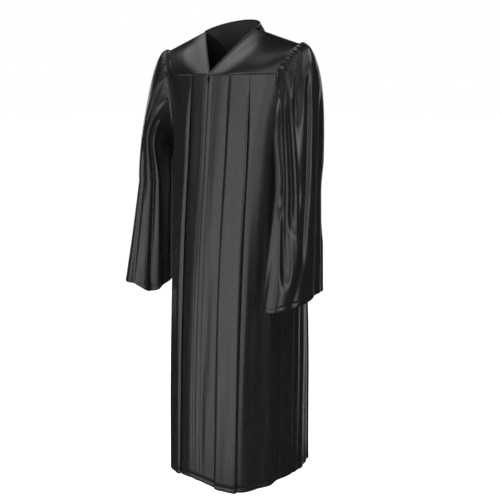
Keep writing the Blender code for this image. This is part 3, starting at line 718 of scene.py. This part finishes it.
def back_yoke_grid():
    """The whole back yoke, from the wearer's right armhole to the left one."""
    left_shoulder, neck = shoulder_line(), back_neck_line()
    top = np.concatenate([mirrored(left_shoulder)[::-1], neck[::-1][1:-1], left_shoulder])
    columns = len(top) - 1
    place = np.linspace(-1, 1, columns + 1)
    x, y, arc = section_at(BACK_TABLE, YOKE_BACK_Z)
    arcs = np.abs(place) * np.interp(YOKE_BACK_HALF, x, arc)
    level = np.full(columns + 1, YOKE_BACK_Z)
    bottom = np.stack([np.interp(arcs, arc, x) * np.sign(place), np.interp(arcs, arc, y), level], 1)
    from_neck = (np.abs(place) * columns / 2 - BACK_NECK_COLUMNS / 2) / SHOULDER_COLUMNS
    full = smooth_step(np.abs(from_neck) / ROUNDING_SHARE_BACK)
    rounding = NECK_CORNER_ROUNDING + (YOKE_ROUNDING - NECK_CORNER_ROUNDING) * full
    return rounded_rows(top, bottom, rounding)


def grid_outward(points):
    """Directions square to a grid, away from the garment's inside."""
    square = unit(np.cross(np.gradient(points, axis=1), np.gradient(points, axis=0)))
    return square * np.sign(((points - np.array(INSIDE)) * square).sum(-1).mean())


def turned_edge(points, out, edge):
    """The grid with one of its edges turned in. edge is top, bottom, first or last."""
    if edge in ("first", "last"):
        across = "top" if edge == "first" else "bottom"
        turned, turned_out = turned_edge(points.transpose(1, 0, 2), out.transpose(1, 0, 2), across)
        return turned.transpose(1, 0, 2), turned_out.transpose(1, 0, 2)
    if edge == "top":
        turned, turned_out = turned_edge(points[::-1], out[::-1], "bottom")
        return turned[::-1], turned_out[::-1]
    away = unit(points[-1] - points[-2])
    rows = [points[-1] + away * row["out"] + out[-1] * row["height"] for row in TURN_IN]
    outs = np.repeat(out[-1:], len(rows), axis=0)
    return np.concatenate([points, rows]), np.concatenate([out, outs])


def armhole_side(table, half, seam_z):
    """The armhole's points on one panel, from its lower corner to the side seam."""
    corner, whole = corner_arc(table, half, seam_z), whole_arc(table)
    arcs = corner + (whole - corner) * armhole_shares(1)
    points, out = on_body(arcs, panel_top(arcs, corner, whole, seam_z)[None], table)
    return points[0], out[0]


def armhole_ring():
    """The left armhole from the shoulder tip by the front and underarm back to the tip, with the
    direction into the cloth, the direction that the sleeve leaves in, and each point's place along
    the yokes' edges."""
    front, front_out = armhole_side(FRONT_TABLE, YOKE_FRONT_HALF, YOKE_FRONT_Z)
    back, back_out = armhole_side(BACK_TABLE, YOKE_BACK_HALF, YOKE_BACK_Z)
    front_edge, back_edge = front_yoke_grid()[:, -1], back_yoke_grid()[1:, -1]
    points = np.concatenate([front_edge, front, back[:-1][::-1], back_edge[::-1]])
    share = (np.arange(YOKE_ROWS + 1) / YOKE_ROWS)[:, None]
    turn_in = np.array(ARMHOLE_TURN_IN)
    front_in = turn_in * (1 - share) - front_out[0] * share
    back_in = turn_in * (1 - share) - back_out[0] * share
    inward = unit(np.concatenate([front_in, -front_out, -back_out[:-1][::-1], back_in[1:][::-1]]))
    count = len(points)
    from_tip = np.arange(count)
    from_tip = np.where(from_tip > count / 2, from_tip - count, from_tip)
    places = np.clip(from_tip / YOKE_ROWS, -1, 1)
    along = np.roll(points, -1, axis=0) - np.roll(points, 1, axis=0)
    leaving = unit(np.cross(inward, along))
    arm = points.mean(axis=0) + np.array([ARM_OUT, 0.0, 0.0])
    leaving *= np.sign(((arm - points) * leaving).sum(-1, keepdims=True))
    return points, inward, leaving, places


def resampled_ring(count):
    """The armhole's ring at even distances, with its turns."""
    points, inward, leaving, places = (np.concatenate([rows, rows[:1]]) for rows in armhole_ring())
    arc = arc_lengths(points)
    half = arc[YOKE_ROWS + ARMHOLE_COLUMNS]
    wanted = arc[-1] * np.arange(count) / count
    behind = 180 + 180 * (wanted - half) / (arc[-1] - half)
    turns = np.where(wanted <= half, 180 * wanted / half, behind)
    points, inward, leaving = (read_path(rows, arc, wanted) for rows in (points, inward, leaving))
    return points, unit(inward), unit(leaving), np.interp(wanted, arc, places), turns


def turn_away(turns, turn):
    """How far each turn is from one turn, in degrees from -180 to 180."""
    return (turns - turn + 180) % 360 - 180


def sleeve_fold(turns, z, side):
    """How far the sleeve's troughs go in. A negative depth is a ridge. Each fold runs by three turns
    from its top to its bottom."""
    depth = np.zeros_like(z)
    for fold in SLEEVE_FOLDS:
        if fold["side"] not in ("both", side):
            continue
        share = np.clip((fold["top"] - z) / (fold["top"] - fold["bottom"]), 0, 1)
        first, middle, last = fold["turns"]
        turn = first * (1 - share) * (1 - 2 * share) + 4 * middle * share * (1 - share)
        away = turn_away(turns, turn + last * share * (2 * share - 1))
        starts = smooth_step((fold["top"] - z) / FOLD_STARTS_IN)
        ends = smooth_step((z - fold["bottom"]) / FOLD_ENDS_IN)
        depth += fold["depth"] * (starts * ends) * np.exp(-((away / fold["width"]) ** 2))
    return depth


def cuff_level(turns, side):
    """The sleeve's hem rises at the outer back and waves at the front."""
    level = np.full_like(turns, SLEEVE_SECTIONS[-1]["z"])
    for wave in CUFF_WAVES:
        if wave["side"] in ("both", side):
            level -= wave["drop"] * np.exp(-((turn_away(turns, wave["turn"]) / wave["width"]) ** 2))
    return level


def sleeve_section(z, turns):
    """Points and outward directions of the plain sleeve below its cap."""
    middle_x, middle_y, half_width, half_depth = (
        smooth_table(SLEEVE_SECTIONS, "z", name, z) for name in ("x", "y", "half_width", "half_depth")
    )
    angle = np.radians(turns)
    x = middle_x + np.cos(angle) * half_width
    y = middle_y - np.sin(angle) * half_depth
    out = np.stack([np.cos(angle) / half_width, -np.sin(angle) / half_depth, np.zeros_like(x)], -1)
    return np.stack([x, y, z], -1), unit(out)


def gather_height(places, t):
    """Full ridges and narrow valleys along the yokes' edges, uneven as gathered cloth is."""
    phase = GATHERS * places
    for sway in GATHER_SWAYS:
        phase = phase + sway["size"] * np.sin(2 * pi * sway["rate"] * places + sway["phase"])
    ridge = GATHER_VALLEY - np.exp(-((np.sin(pi * phase / 2) / GATHER_WIDTH) ** 2))
    swing = np.sin(GATHER_REACH["rate"] * np.round(phase) + GATHER_REACH["phase"])
    reach = GATHER_REACH["whole"] * (GATHER_REACH["mean"] + GATHER_REACH["swing"] * swing)
    past = np.maximum(t - GATHER_PEAK_AT, 0) / (GATHER_FALLS_IN * reach)
    rise = np.clip(t / GATHER_PEAK_AT, 0, 1) ** GATHER_RISE_POWER
    rise = rise * np.exp(-(past**GATHER_FALL_POWER))
    share = smooth_step((1 - np.abs(places)) / GATHERS_EVEN_OUT)
    return GATHER_DEPTH * ridge * rise * share


def cap_leave(inward, leaving, turns):
    """The way, and how strongly, that the sleeve leaves the armhole."""
    lift = np.maximum(0, np.cos(np.radians(turns)))[:, None]
    leave = leaving * CAP_LEAVES["seam"] - inward * CAP_LEAVES["outward"]
    shares = np.concatenate([np.ones_like(lift), lift, lift], 1)
    leave += np.array([CAP_LEAVES["side"], 0.0, CAP_LEAVES["down"]]) * shares
    return unit(leave) * CAP_SPREAD * (CAP_LEAVES["spread"] + CAP_LIFT * lift)


def cap_rows(side):
    """The sleeve's cap, rows from the tuck in the armhole down: points, outward directions, turns."""
    ring, inward, leaving, places, turns = resampled_ring(SLEEVE_COLUMNS)
    start = ring + leaving * SEAM_GAP / 2
    low_point, low_out = sleeve_section(np.full_like(turns, CAP_BOTTOM_Z), turns)
    length = np.linalg.norm(low_point - start, axis=1, keepdims=True)
    leave = cap_leave(inward, leaving, turns)
    fall = np.array([0.0, 0.0, -1.0]) * length * CAP_FALL
    forward = np.maximum(0, np.cos(np.radians(turns - FRONT_FULLNESS_TURN))) ** 2
    rows, outs = [start - leaving * CAP_TUCK_BACK + inward * CAP_TUCK_IN], [-inward]
    for t in (np.arange(CAP_ROWS + 1) / CAP_ROWS) ** CAP_POWER:
        point = start * (1 + 2 * t) * (1 - t) ** 2 + leave * t * (1 - t) ** 2
        point = point + low_point * t**2 * (3 - 2 * t) - fall * t**2 * (1 - t)
        point[:, 1] -= FRONT_FULLNESS * forward * t**2 * (1 - t) ** 3 / FULLNESS_PEAK
        turned = smooth_step(t * CAP_TURNS_IN)
        facing = unit(-inward * (1 - turned) + low_out * turned)
        height = gather_height(places, t) - CAP_SEAM_DIP * (1 - smooth_step(t / CAP_SEAM_DIP_IN))
        height = height - sleeve_fold(turns, point[:, 2], side) * smooth_step(t / FOLD_GROWTH)
        rows.append(point + facing * height[:, None])
        outs.append(facing)
    return rows, outs, turns


def sleeve_grid(side):
    """A sleeve as on the left, rows from the armhole to the hem: its points and the outward
    directions of its plain form."""
    rows, outs, turns = cap_rows(side)
    hem = cuff_level(turns, side)
    turned = column(HEM_TURN_UP, "up")
    end = hem + turned[0]
    shares = np.arange(1, SLEEVE_ROWS) / SLEEVE_ROWS
    levels = [CAP_BOTTOM_Z + (end - CAP_BOTTOM_Z) * share for share in shares]
    levels += [hem + up for up in turned]
    heights = [0.0] * len(shares) + [row["height"] for row in HEM_TURN_UP]
    for z, height in zip(levels, heights):
        plain, out = sleeve_section(np.maximum(z, SLEEVE_SECTIONS[-1]["z"]), turns)
        plain[:, 2] = z
        rows.append(plain + out * (height - sleeve_fold(turns, z, side))[:, None])
        outs.append(out)
    return np.array(rows), np.array(outs)


def distances(points):
    """Distances along a grid's columns and rows, for its texture coordinates."""
    across = np.linalg.norm(np.diff(points, axis=1), axis=2).mean(axis=0)
    down = np.linalg.norm(np.diff(points, axis=0), axis=2)
    down = np.concatenate([np.zeros((1, points.shape[1])), np.cumsum(down, axis=0)])
    return np.concatenate([[0], np.cumsum(across)]), down


def bare_mesh(name, vertices, faces, finish, smooth=True):
    """A mesh without texture coordinates."""
    data = bpy.data.meshes.new(name)
    data.from_pydata(np.asarray(vertices).tolist(), [], faces)
    if smooth:
        data.shade_smooth()
    data.materials.append(finish)
    made = bpy.data.objects.new(name, data)
    bpy.context.scene.collection.objects.link(made)
    return made


def quads(index):
    """The faces of a grid of numbered points."""
    corners = (index[:-1, :-1], index[:-1, 1:], index[1:, 1:], index[1:, :-1])
    return np.stack(corners, -1).reshape(-1, 4)


def add_texture_places(data, grid, flipped):
    """The UV map cloth: metres across and down the cloth."""
    u, v = distances(grid)
    corners = quads(np.arange(v.size).reshape(v.shape))
    corners = (corners[:, ::-1] if flipped else corners).reshape(-1)
    u = np.broadcast_to(u[None], v.shape)
    places = np.stack([u.reshape(-1)[corners], v.reshape(-1)[corners]], 1)
    uv = data.uv_layers.new(name="cloth")
    uv.data.foreach_set("uv", places.astype(np.float32).reshape(-1))


def cloth_mesh(name, points, out, finish, closed=False, thickness=CLOTH):
    """A thin shell through a grid of points, its outer side towards out."""
    rows, columns = points.shape[:2]
    grid, index = points, np.arange(rows * columns).reshape(rows, columns)
    if closed:
        grid, index = (np.concatenate([part, part[:, :1]], axis=1) for part in (grid, index))
    row, i = rows // 2, columns // 2
    across = points[row, (i + 1) % columns] - points[row, i]
    down = points[row + 1, i] - points[row, i]
    flipped = np.cross(across, down) @ out[row, i] < 0
    faces = quads(index)[:, ::-1] if flipped else quads(index)
    made = bare_mesh(name, points.reshape(-1, 3), faces.tolist(), finish)
    add_texture_places(made.data, grid, flipped)
    if thickness:
        shell = made.modifiers.new("cloth", "SOLIDIFY")
        shell.thickness = thickness
        shell.offset = -1
        shell.material_offset = 1
        made.data.materials.append(bpy.data.materials[REVERSE])
    return made


def roll_mesh(name, path, across, up, finish):
    """A flattened roll of cloth along a path, drawn in at its ends."""
    angle = 2 * pi * np.arange(ROLL_SIDES) / ROLL_SIDES
    size = np.ones(len(path))
    size[[0, -1]] = ROLL_END
    ring = across[:, None] * np.cos(angle)[None, :, None] * NECK_EDGE_HALF_WIDTH
    ring = ring + up[:, None] * np.sin(angle)[None, :, None] * NECK_EDGE_HALF_HEIGHT
    ring *= size[:, None, None]
    return cloth_mesh(name, path[:, None] + ring, unit(ring), finish, closed=True, thickness=0)


def stitch_faces(count):
    """The faces of many stitches, whose points are numbered by ring, by side and by stitch."""
    shape = (len(STITCH_SHAPE), STITCH_SIDES, count)
    numbers = np.arange(np.prod(shape)).reshape(shape).transpose(2, 0, 1).tolist()
    faces = []
    for rings in numbers:
        for low, high in zip(rings, rings[1:]):
            for i in range(STITCH_SIDES):
                j = (i + 1) % STITCH_SIDES
                faces.append((high[i], high[j], low[j], low[i]))
        faces += [rings[0], rings[-1][::-1]]
    return faces


def stitch_row(name, path, out, finish):
    """Short raised stitches along a path on the cloth, each a thin thread dipping in at its ends."""
    arc = arc_lengths(path)
    starts = np.arange(0, arc[-1] - STITCH_PITCH, STITCH_PITCH)
    up = unit(read_path(out, arc, starts))
    along = unit(read_path(path, arc, starts + STITCH_LENGTH) - read_path(path, arc, starts))
    across = unit(np.cross(along, up))
    rings = []
    for row in STITCH_SHAPE:
        centre = read_path(path, arc, starts + row["share"] * STITCH_LENGTH)
        centre = centre + up * row["lift"] * STITCH_RADIUS
        for i in range(STITCH_SIDES):
            angle = 2 * pi * i / STITCH_SIDES
            away = across * cos(angle) + up * sin(angle)
            rings.append(centre + away * STITCH_RADIUS * row["size"])
    return bare_mesh(name, np.array(rings).reshape(-1, 3), stitch_faces(len(starts)), finish)


# Materials
def node(tree, kind, **values):
    """A new node with its inputs and settings."""
    made = tree.nodes.new(kind)
    for key, value in values.items():
        if key in made.inputs:
            made.inputs[key].default_value = value
        else:
            setattr(made, key, value)
    return made


def link(tree, source, output, target, socket):
    tree.links.new(source.outputs[output], target.inputs[socket])


def new_material(name, sockets):
    """A material, its node tree and its shader."""
    made = bpy.data.materials.new(name)
    made.use_nodes = True
    shader = made.node_tree.nodes["Principled BSDF"]
    for socket, value in sockets.items():
        shader.inputs[socket].default_value = value
    return made, made.node_tree, shader


def spread(tree, noise, low, high, within=(0.0, 1.0)):
    """A noise's values within a range, spread from low to high."""
    limits = {"From Min": within[0], "From Max": within[1], "To Min": low, "To Max": high}
    made = node(tree, "ShaderNodeMapRange", **limits)
    link(tree, noise, "Fac", made, "Value")
    return made.outputs["Result"]


def add_colour(tree, shader, colour, shade):
    """The base colour times a shade."""
    mix = node(tree, "ShaderNodeMix", data_type="RGBA", blend_type="MULTIPLY", Factor=1.0)
    mix.inputs[MIX_A].default_value = (*colour, 1.0)
    tree.links.new(shade, mix.inputs[MIX_B])
    tree.links.new(mix.outputs[MIX_RESULT], shader.inputs["Base Color"])


def add_bumps(tree, shader, bumps):
    """Bumps one on another, each a noise, a distance and a strength."""
    below = None
    for noise, distance, strength in bumps:
        bump = node(tree, "ShaderNodeBump", Strength=strength, Distance=distance)
        link(tree, noise, "Fac", bump, "Height")
        if below is not None:
            link(tree, below, "Normal", bump, "Normal")
        below = bump
    link(tree, below, "Normal", shader, "Normal")


def cloth_noise(tree, place, row):
    """A noise stretched along the cloth."""
    noise = node(tree, "ShaderNodeTexNoise", Scale=1.0, Detail=row["detail"], Roughness=row["roughness"])
    stretch = node(tree, "ShaderNodeMapping", Scale=row["scale"])
    link(tree, place, "UV", stretch, "Vector")
    link(tree, stretch, "Vector", noise, "Vector")
    return noise


def satin(name, colour, roughness, sockets=SATIN_SOCKETS):
    """Warp-faced satin: fine lengthwise yarns, soft slubs, a slight sheen and uneven gloss."""
    made, tree, shader = new_material(name, sockets)
    place = node(tree, "ShaderNodeUVMap", uv_map="cloth")
    tangent = node(tree, "ShaderNodeTangent", direction_type="UV_MAP", uv_map="cloth")
    link(tree, tangent, "Tangent", shader, "Tangent")
    noises = {row["name"]: cloth_noise(tree, place, row) for row in SATIN_NOISES}
    add_colour(tree, shader, colour, spread(tree, noises["slubs"], *SLUB_SHADES))
    low, high = roughness - GLOSSIER, roughness + DULLER
    tree.links.new(spread(tree, noises["crumple"], low, high, CRUMPLE_RANGE), shader.inputs["Roughness"])
    add_bumps(tree, shader, [(noises[row["name"]], row["distance"], row["strength"]) for row in SATIN_NOISES])
    return made


def plain(name, colour, roughness, metallic):
    """A material with a fine grain in its colour, gloss and surface."""
    made, tree, shader = new_material(name, {"Metallic": metallic})
    place = node(tree, "ShaderNodeTexCoord")
    noise = node(tree, "ShaderNodeTexNoise", Scale=GRAIN["scale"], Detail=GRAIN["detail"])
    link(tree, place, "Object", noise, "Vector")
    add_colour(tree, shader, colour, spread(tree, noise, *GRAIN["shades"]))
    low, high = roughness - GRAIN["gloss"], roughness + GRAIN["gloss"]
    tree.links.new(spread(tree, noise, low, high), shader.inputs["Roughness"])
    add_bumps(tree, shader, [(noise, GRAIN["distance"], GRAIN["strength"])])
    return made


def dress(piece, slot, *nodes):
    """Hangs a piece of the garment on the garment's body and hides the CAD pieces that it stands for. slot is
    not used.
    """
    if nodes:
        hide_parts(*nodes)
    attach(piece, "garment")
    return piece


# Building the pieces
def stitched_row():
    """The grid row, counted from its end, where a narrow hem is sewn."""
    ups = [row["up"] for row in HEM_TURN_UP]
    return ups.index(STITCHED_UP) - len(ups)


def sew(name, path, out, thread):
    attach(stitch_row(name, path, out, thread), "garment")


def build_front(side, edge, stitched_at, seed, cloth, thread):
    """One front panel, with the stitches of its hem and beside its centre edge."""
    points, out, arcs = panel_grid(FRONT_TABLE, edge, seed)
    points, out = on_side(points, side), on_side(out, side)
    panel = dress(cloth_mesh(f"satin_front_{side}", points, out, cloth), "satin", f"front_{side}")
    row = stitched_row()
    first = int(np.argmin(arcs))
    sew(f"stitches_hem_front_{side}", points[row, first:], out[row, first:], thread)
    line = first + int(np.argmin(np.abs(arcs[first:] - stitched_at)))
    rows = slice(len(SEAM_TUCK), row)
    sew(f"stitches_fly_{side}", points[rows, line], out[rows, line], thread)


def build_body(cloth, thread):
    """The two fronts and the back."""
    for front in FRONTS:
        build_front(**front, cloth=cloth, thread=thread)
    (left, left_out, _), (right, right_out, _) = (panel_grid(BACK_TABLE, None, seed) for seed in BACK_SEEDS)
    whole = np.concatenate([mirrored(right)[:, :0:-1], left], axis=1)
    out = np.concatenate([mirrored(right_out)[:, :0:-1], left_out], axis=1)
    back = dress(cloth_mesh("satin_back", whole, out, cloth), "satin", "back")
    row = stitched_row()
    sew("stitches_hem_back", whole[row], out[row], thread)


def with_edges(points, *edges):
    """A yoke's grid with some of its edges turned in, and its outward directions."""
    out = grid_outward(points)
    for edge in edges:
        points, out = turned_edge(points, out, edge)
    return points, out


def build_yoke(name, points, out, cloth):
    return dress(cloth_mesh(f"satin_{name}", points, out, cloth), "satin", name)


def build_yokes(cloth):
    """The two front yokes and the back yoke."""
    points, out = with_edges(front_yoke_grid(), "bottom", "last")
    left = build_yoke("yoke_front_left", points, out, cloth)
    right = build_yoke("yoke_front_right", mirrored(points), mirrored(out), cloth)
    points, out = with_edges(back_yoke_grid(), "bottom", "first", "last")
    whole = build_yoke("yoke_back", points, out, cloth)


def build_sleeves(cloth, thread):
    """The two sleeves, with the stitches of their cuffs."""
    for side in ("left", "right"):
        points, out = (on_side(grid, side) for grid in sleeve_grid(side))
        sleeve = cloth_mesh(f"satin_sleeve_{side}", points, out, cloth, closed=True)
        dress(sleeve, "satin", f"sleeve_{side}")
        row = stitched_row()
        closed = [*range(points.shape[1]), 0]
        sew(f"stitches_cuff_{side}", points[row, closed], out[row, closed], thread)


def neck_roll(side, edge, next_row, out, finish):
    """The rolled edge along one yoke's neckline."""
    away = unit(edge - next_row)
    path = edge + away * NECK_EDGE_OUT + out * NECK_EDGE_UP
    path, away, out = (on_side(rows, side) for rows in (path, away, out))
    dress(roll_mesh(f"rolled_neck_{side}", path, away, out, finish), "rolled_edge", f"neck_edge_{side}")


def build_neck(rolled):
    """The rolled edges of the front yokes and the back yoke."""
    front = front_yoke_grid()
    out = grid_outward(front)
    for side in ("left", "right"):
        neck_roll(side, front[:, 0], front[:, 1], out[:, 0], rolled)
    back = back_yoke_grid()
    out = grid_outward(back)
    neck = slice(SHOULDER_COLUMNS, SHOULDER_COLUMNS + BACK_NECK_COLUMNS + 1)
    neck_roll("back", back[0, neck], back[1, neck], out[0, neck], rolled)


def centre_front():
    """The centre line of the fronts' plain surface, down the fly."""
    z = np.linspace(FLY_TOP_Z, FLY_BOTTOM_Z, FLY_ROWS)
    points, _ = on_body(np.array([0.0]), z[:, None], FRONT_TABLE)
    return points[:, 0]


def build_fly(tape):
    """The placket strip behind the centre front."""
    across = np.linspace(-FLY_HALF_WIDTH, FLY_HALF_WIDTH, FLY_COLUMNS)
    row = np.stack([across, np.full_like(across, FLY_DEPTH), np.zeros_like(across)], 1)
    points = centre_front()[:, None] + row[None]
    out = np.zeros_like(points)
    out[..., 1] = -1.0
    strip = dress(cloth_mesh("fly_strip", points, out, tape), "satin", "fly")


def build_zip_teeth(finish):
    """The closed chain on the fly strip: two rows of bars that mesh in turn."""
    line = centre_front()
    levels = np.arange(ZIP_TOP_Z, ZIP_BOTTOM_Z, -ZIP_PITCH)
    y = np.interp(-levels, -line[:, 2], line[:, 1]) + ZIP_DEPTH
    turn = np.where(np.arange(len(levels)) % 2 == 0, 1.0, -1.0)
    centres = np.stack([turn * ZIP_OFFSET, y, levels], 1)
    signs = np.array([(a, b, c) for a in (-1, 1) for b in (-1, 1) for c in (-1, 1)])
    corners = centres[:, None] + signs[None] * np.array(ZIP_TOOTH) / 2
    firsts = len(signs) * np.arange(len(levels))
    faces = (np.array(ZIP_TOOTH_FACES)[None] + firsts[:, None, None]).reshape(-1, 4)
    teeth = bare_mesh("zip_teeth", corners.reshape(-1, 3), faces.tolist(), finish, smooth=False)
    dress(teeth, "zip_metal")


def build_stage():
    """A plain pale floor, which the satin doesn't mirror."""
    pale, _, _ = new_material("pale_floor", FLOOR_SOCKETS)
    corners = [(x * FLOOR_HALF, y * FLOOR_HALF, FLOOR_Z) for x, y in ((-1, -1), (1, -1), (1, 1), (-1, 1))]
    floor = bare_mesh("floor", corners, [(0, 1, 2, 3)], pale)
    floor.visible_glossy = False
    floor.visible_shadow = False
    return floor


def build_lights():
    """Soft rectangular lights round the gown, each aimed at a level on its upright axis."""
    for row in LIGHTS:
        data = bpy.data.lights.new(row["name"], "AREA")
        data.shape = "RECTANGLE"
        data.size, data.size_y = row["width"], row["height"]
        data.energy = row["radiance"] * pi * row["width"] * row["height"]
        light = bpy.data.objects.new(row["name"], data)
        turn, rise = radians(row["azimuth"]), radians(row["elevation"])
        away = Vector((sin(turn) * cos(rise), -cos(turn) * cos(rise), sin(rise)))
        light.location = Vector((0.0, 0.0, row["aim"])) + away * row["distance"]
        light.rotation_euler = away.to_track_quat("Z", "Y").to_euler()
        light.visible_camera = False
        bpy.context.scene.collection.objects.link(light)


def build_floor_wash(floor):
    """An even light from above that falls on the floor alone, which keeps it pale."""
    data = bpy.data.lights.new("floor_wash", "SUN")
    data.energy = FLOOR_WASH
    data.angle = radians(FLOOR_WASH_ANGLE)
    light = bpy.data.objects.new("floor_wash", data)
    bpy.context.scene.collection.objects.link(light)
    only = bpy.data.collections.new("floor_alone")
    only.objects.link(floor)
    light.light_linking.receiver_collection = only


def build_world():
    """A white background that lights nothing: the lights alone shape the satin's sheen."""
    world = bpy.data.worlds.new("studio")
    bpy.context.scene.world = world
    bpy.context.scene.view_settings.view_transform = "Standard"
    world.use_nodes = True
    shade = world.node_tree.nodes["Background"]
    shade.inputs["Color"].default_value = (1.0, 1.0, 1.0, 1.0)
    shade.inputs["Strength"].default_value = BACKGROUND
    world.cycles_visibility.glossy = False
    world.cycles_visibility.diffuse = False


def build_camera():
    """The photograph's view."""
    turn, down = radians(VIEW_TURN), radians(VIEW_DOWN)
    data = bpy.data.cameras.new("camera")
    data.sensor_width = SENSOR
    data.lens = FOCAL_PIXELS / IMAGE_WIDTH * SENSOR
    camera = bpy.data.objects.new("camera", data)
    x = sin(turn) * VIEW_DISTANCE + cos(turn) * VIEW_SIDE
    y = -cos(turn) * VIEW_DISTANCE + sin(turn) * VIEW_SIDE
    camera.location = (x, y, VIEW_HEIGHT)
    camera.rotation_euler = (pi / 2 - down, 0.0, turn)
    bpy.context.scene.collection.objects.link(camera)
    bpy.context.scene.camera = camera


def main():
    satin(REVERSE, REVERSE_PAINTED_FILL_COLOUR, REVERSE_ROUGHNESS, REVERSE_SOCKETS)
    cloth, rolled, tape = (satin(**row) for row in SATINS)
    enamel, thread = (plain(**row) for row in PLAIN_FINISHES)
    build_body(cloth, thread)
    build_yokes(cloth)
    build_sleeves(cloth, thread)
    build_neck(rolled)
    build_fly(tape)
    build_zip_teeth(enamel)
    for name in ("zip_slider", "zip_pull"):
        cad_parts[name].data.materials.clear()
        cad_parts[name].data.materials.append(enamel)
    floor = build_stage()
    build_world()
    build_lights()
    build_floor_wash(floor)
    build_camera()


main()
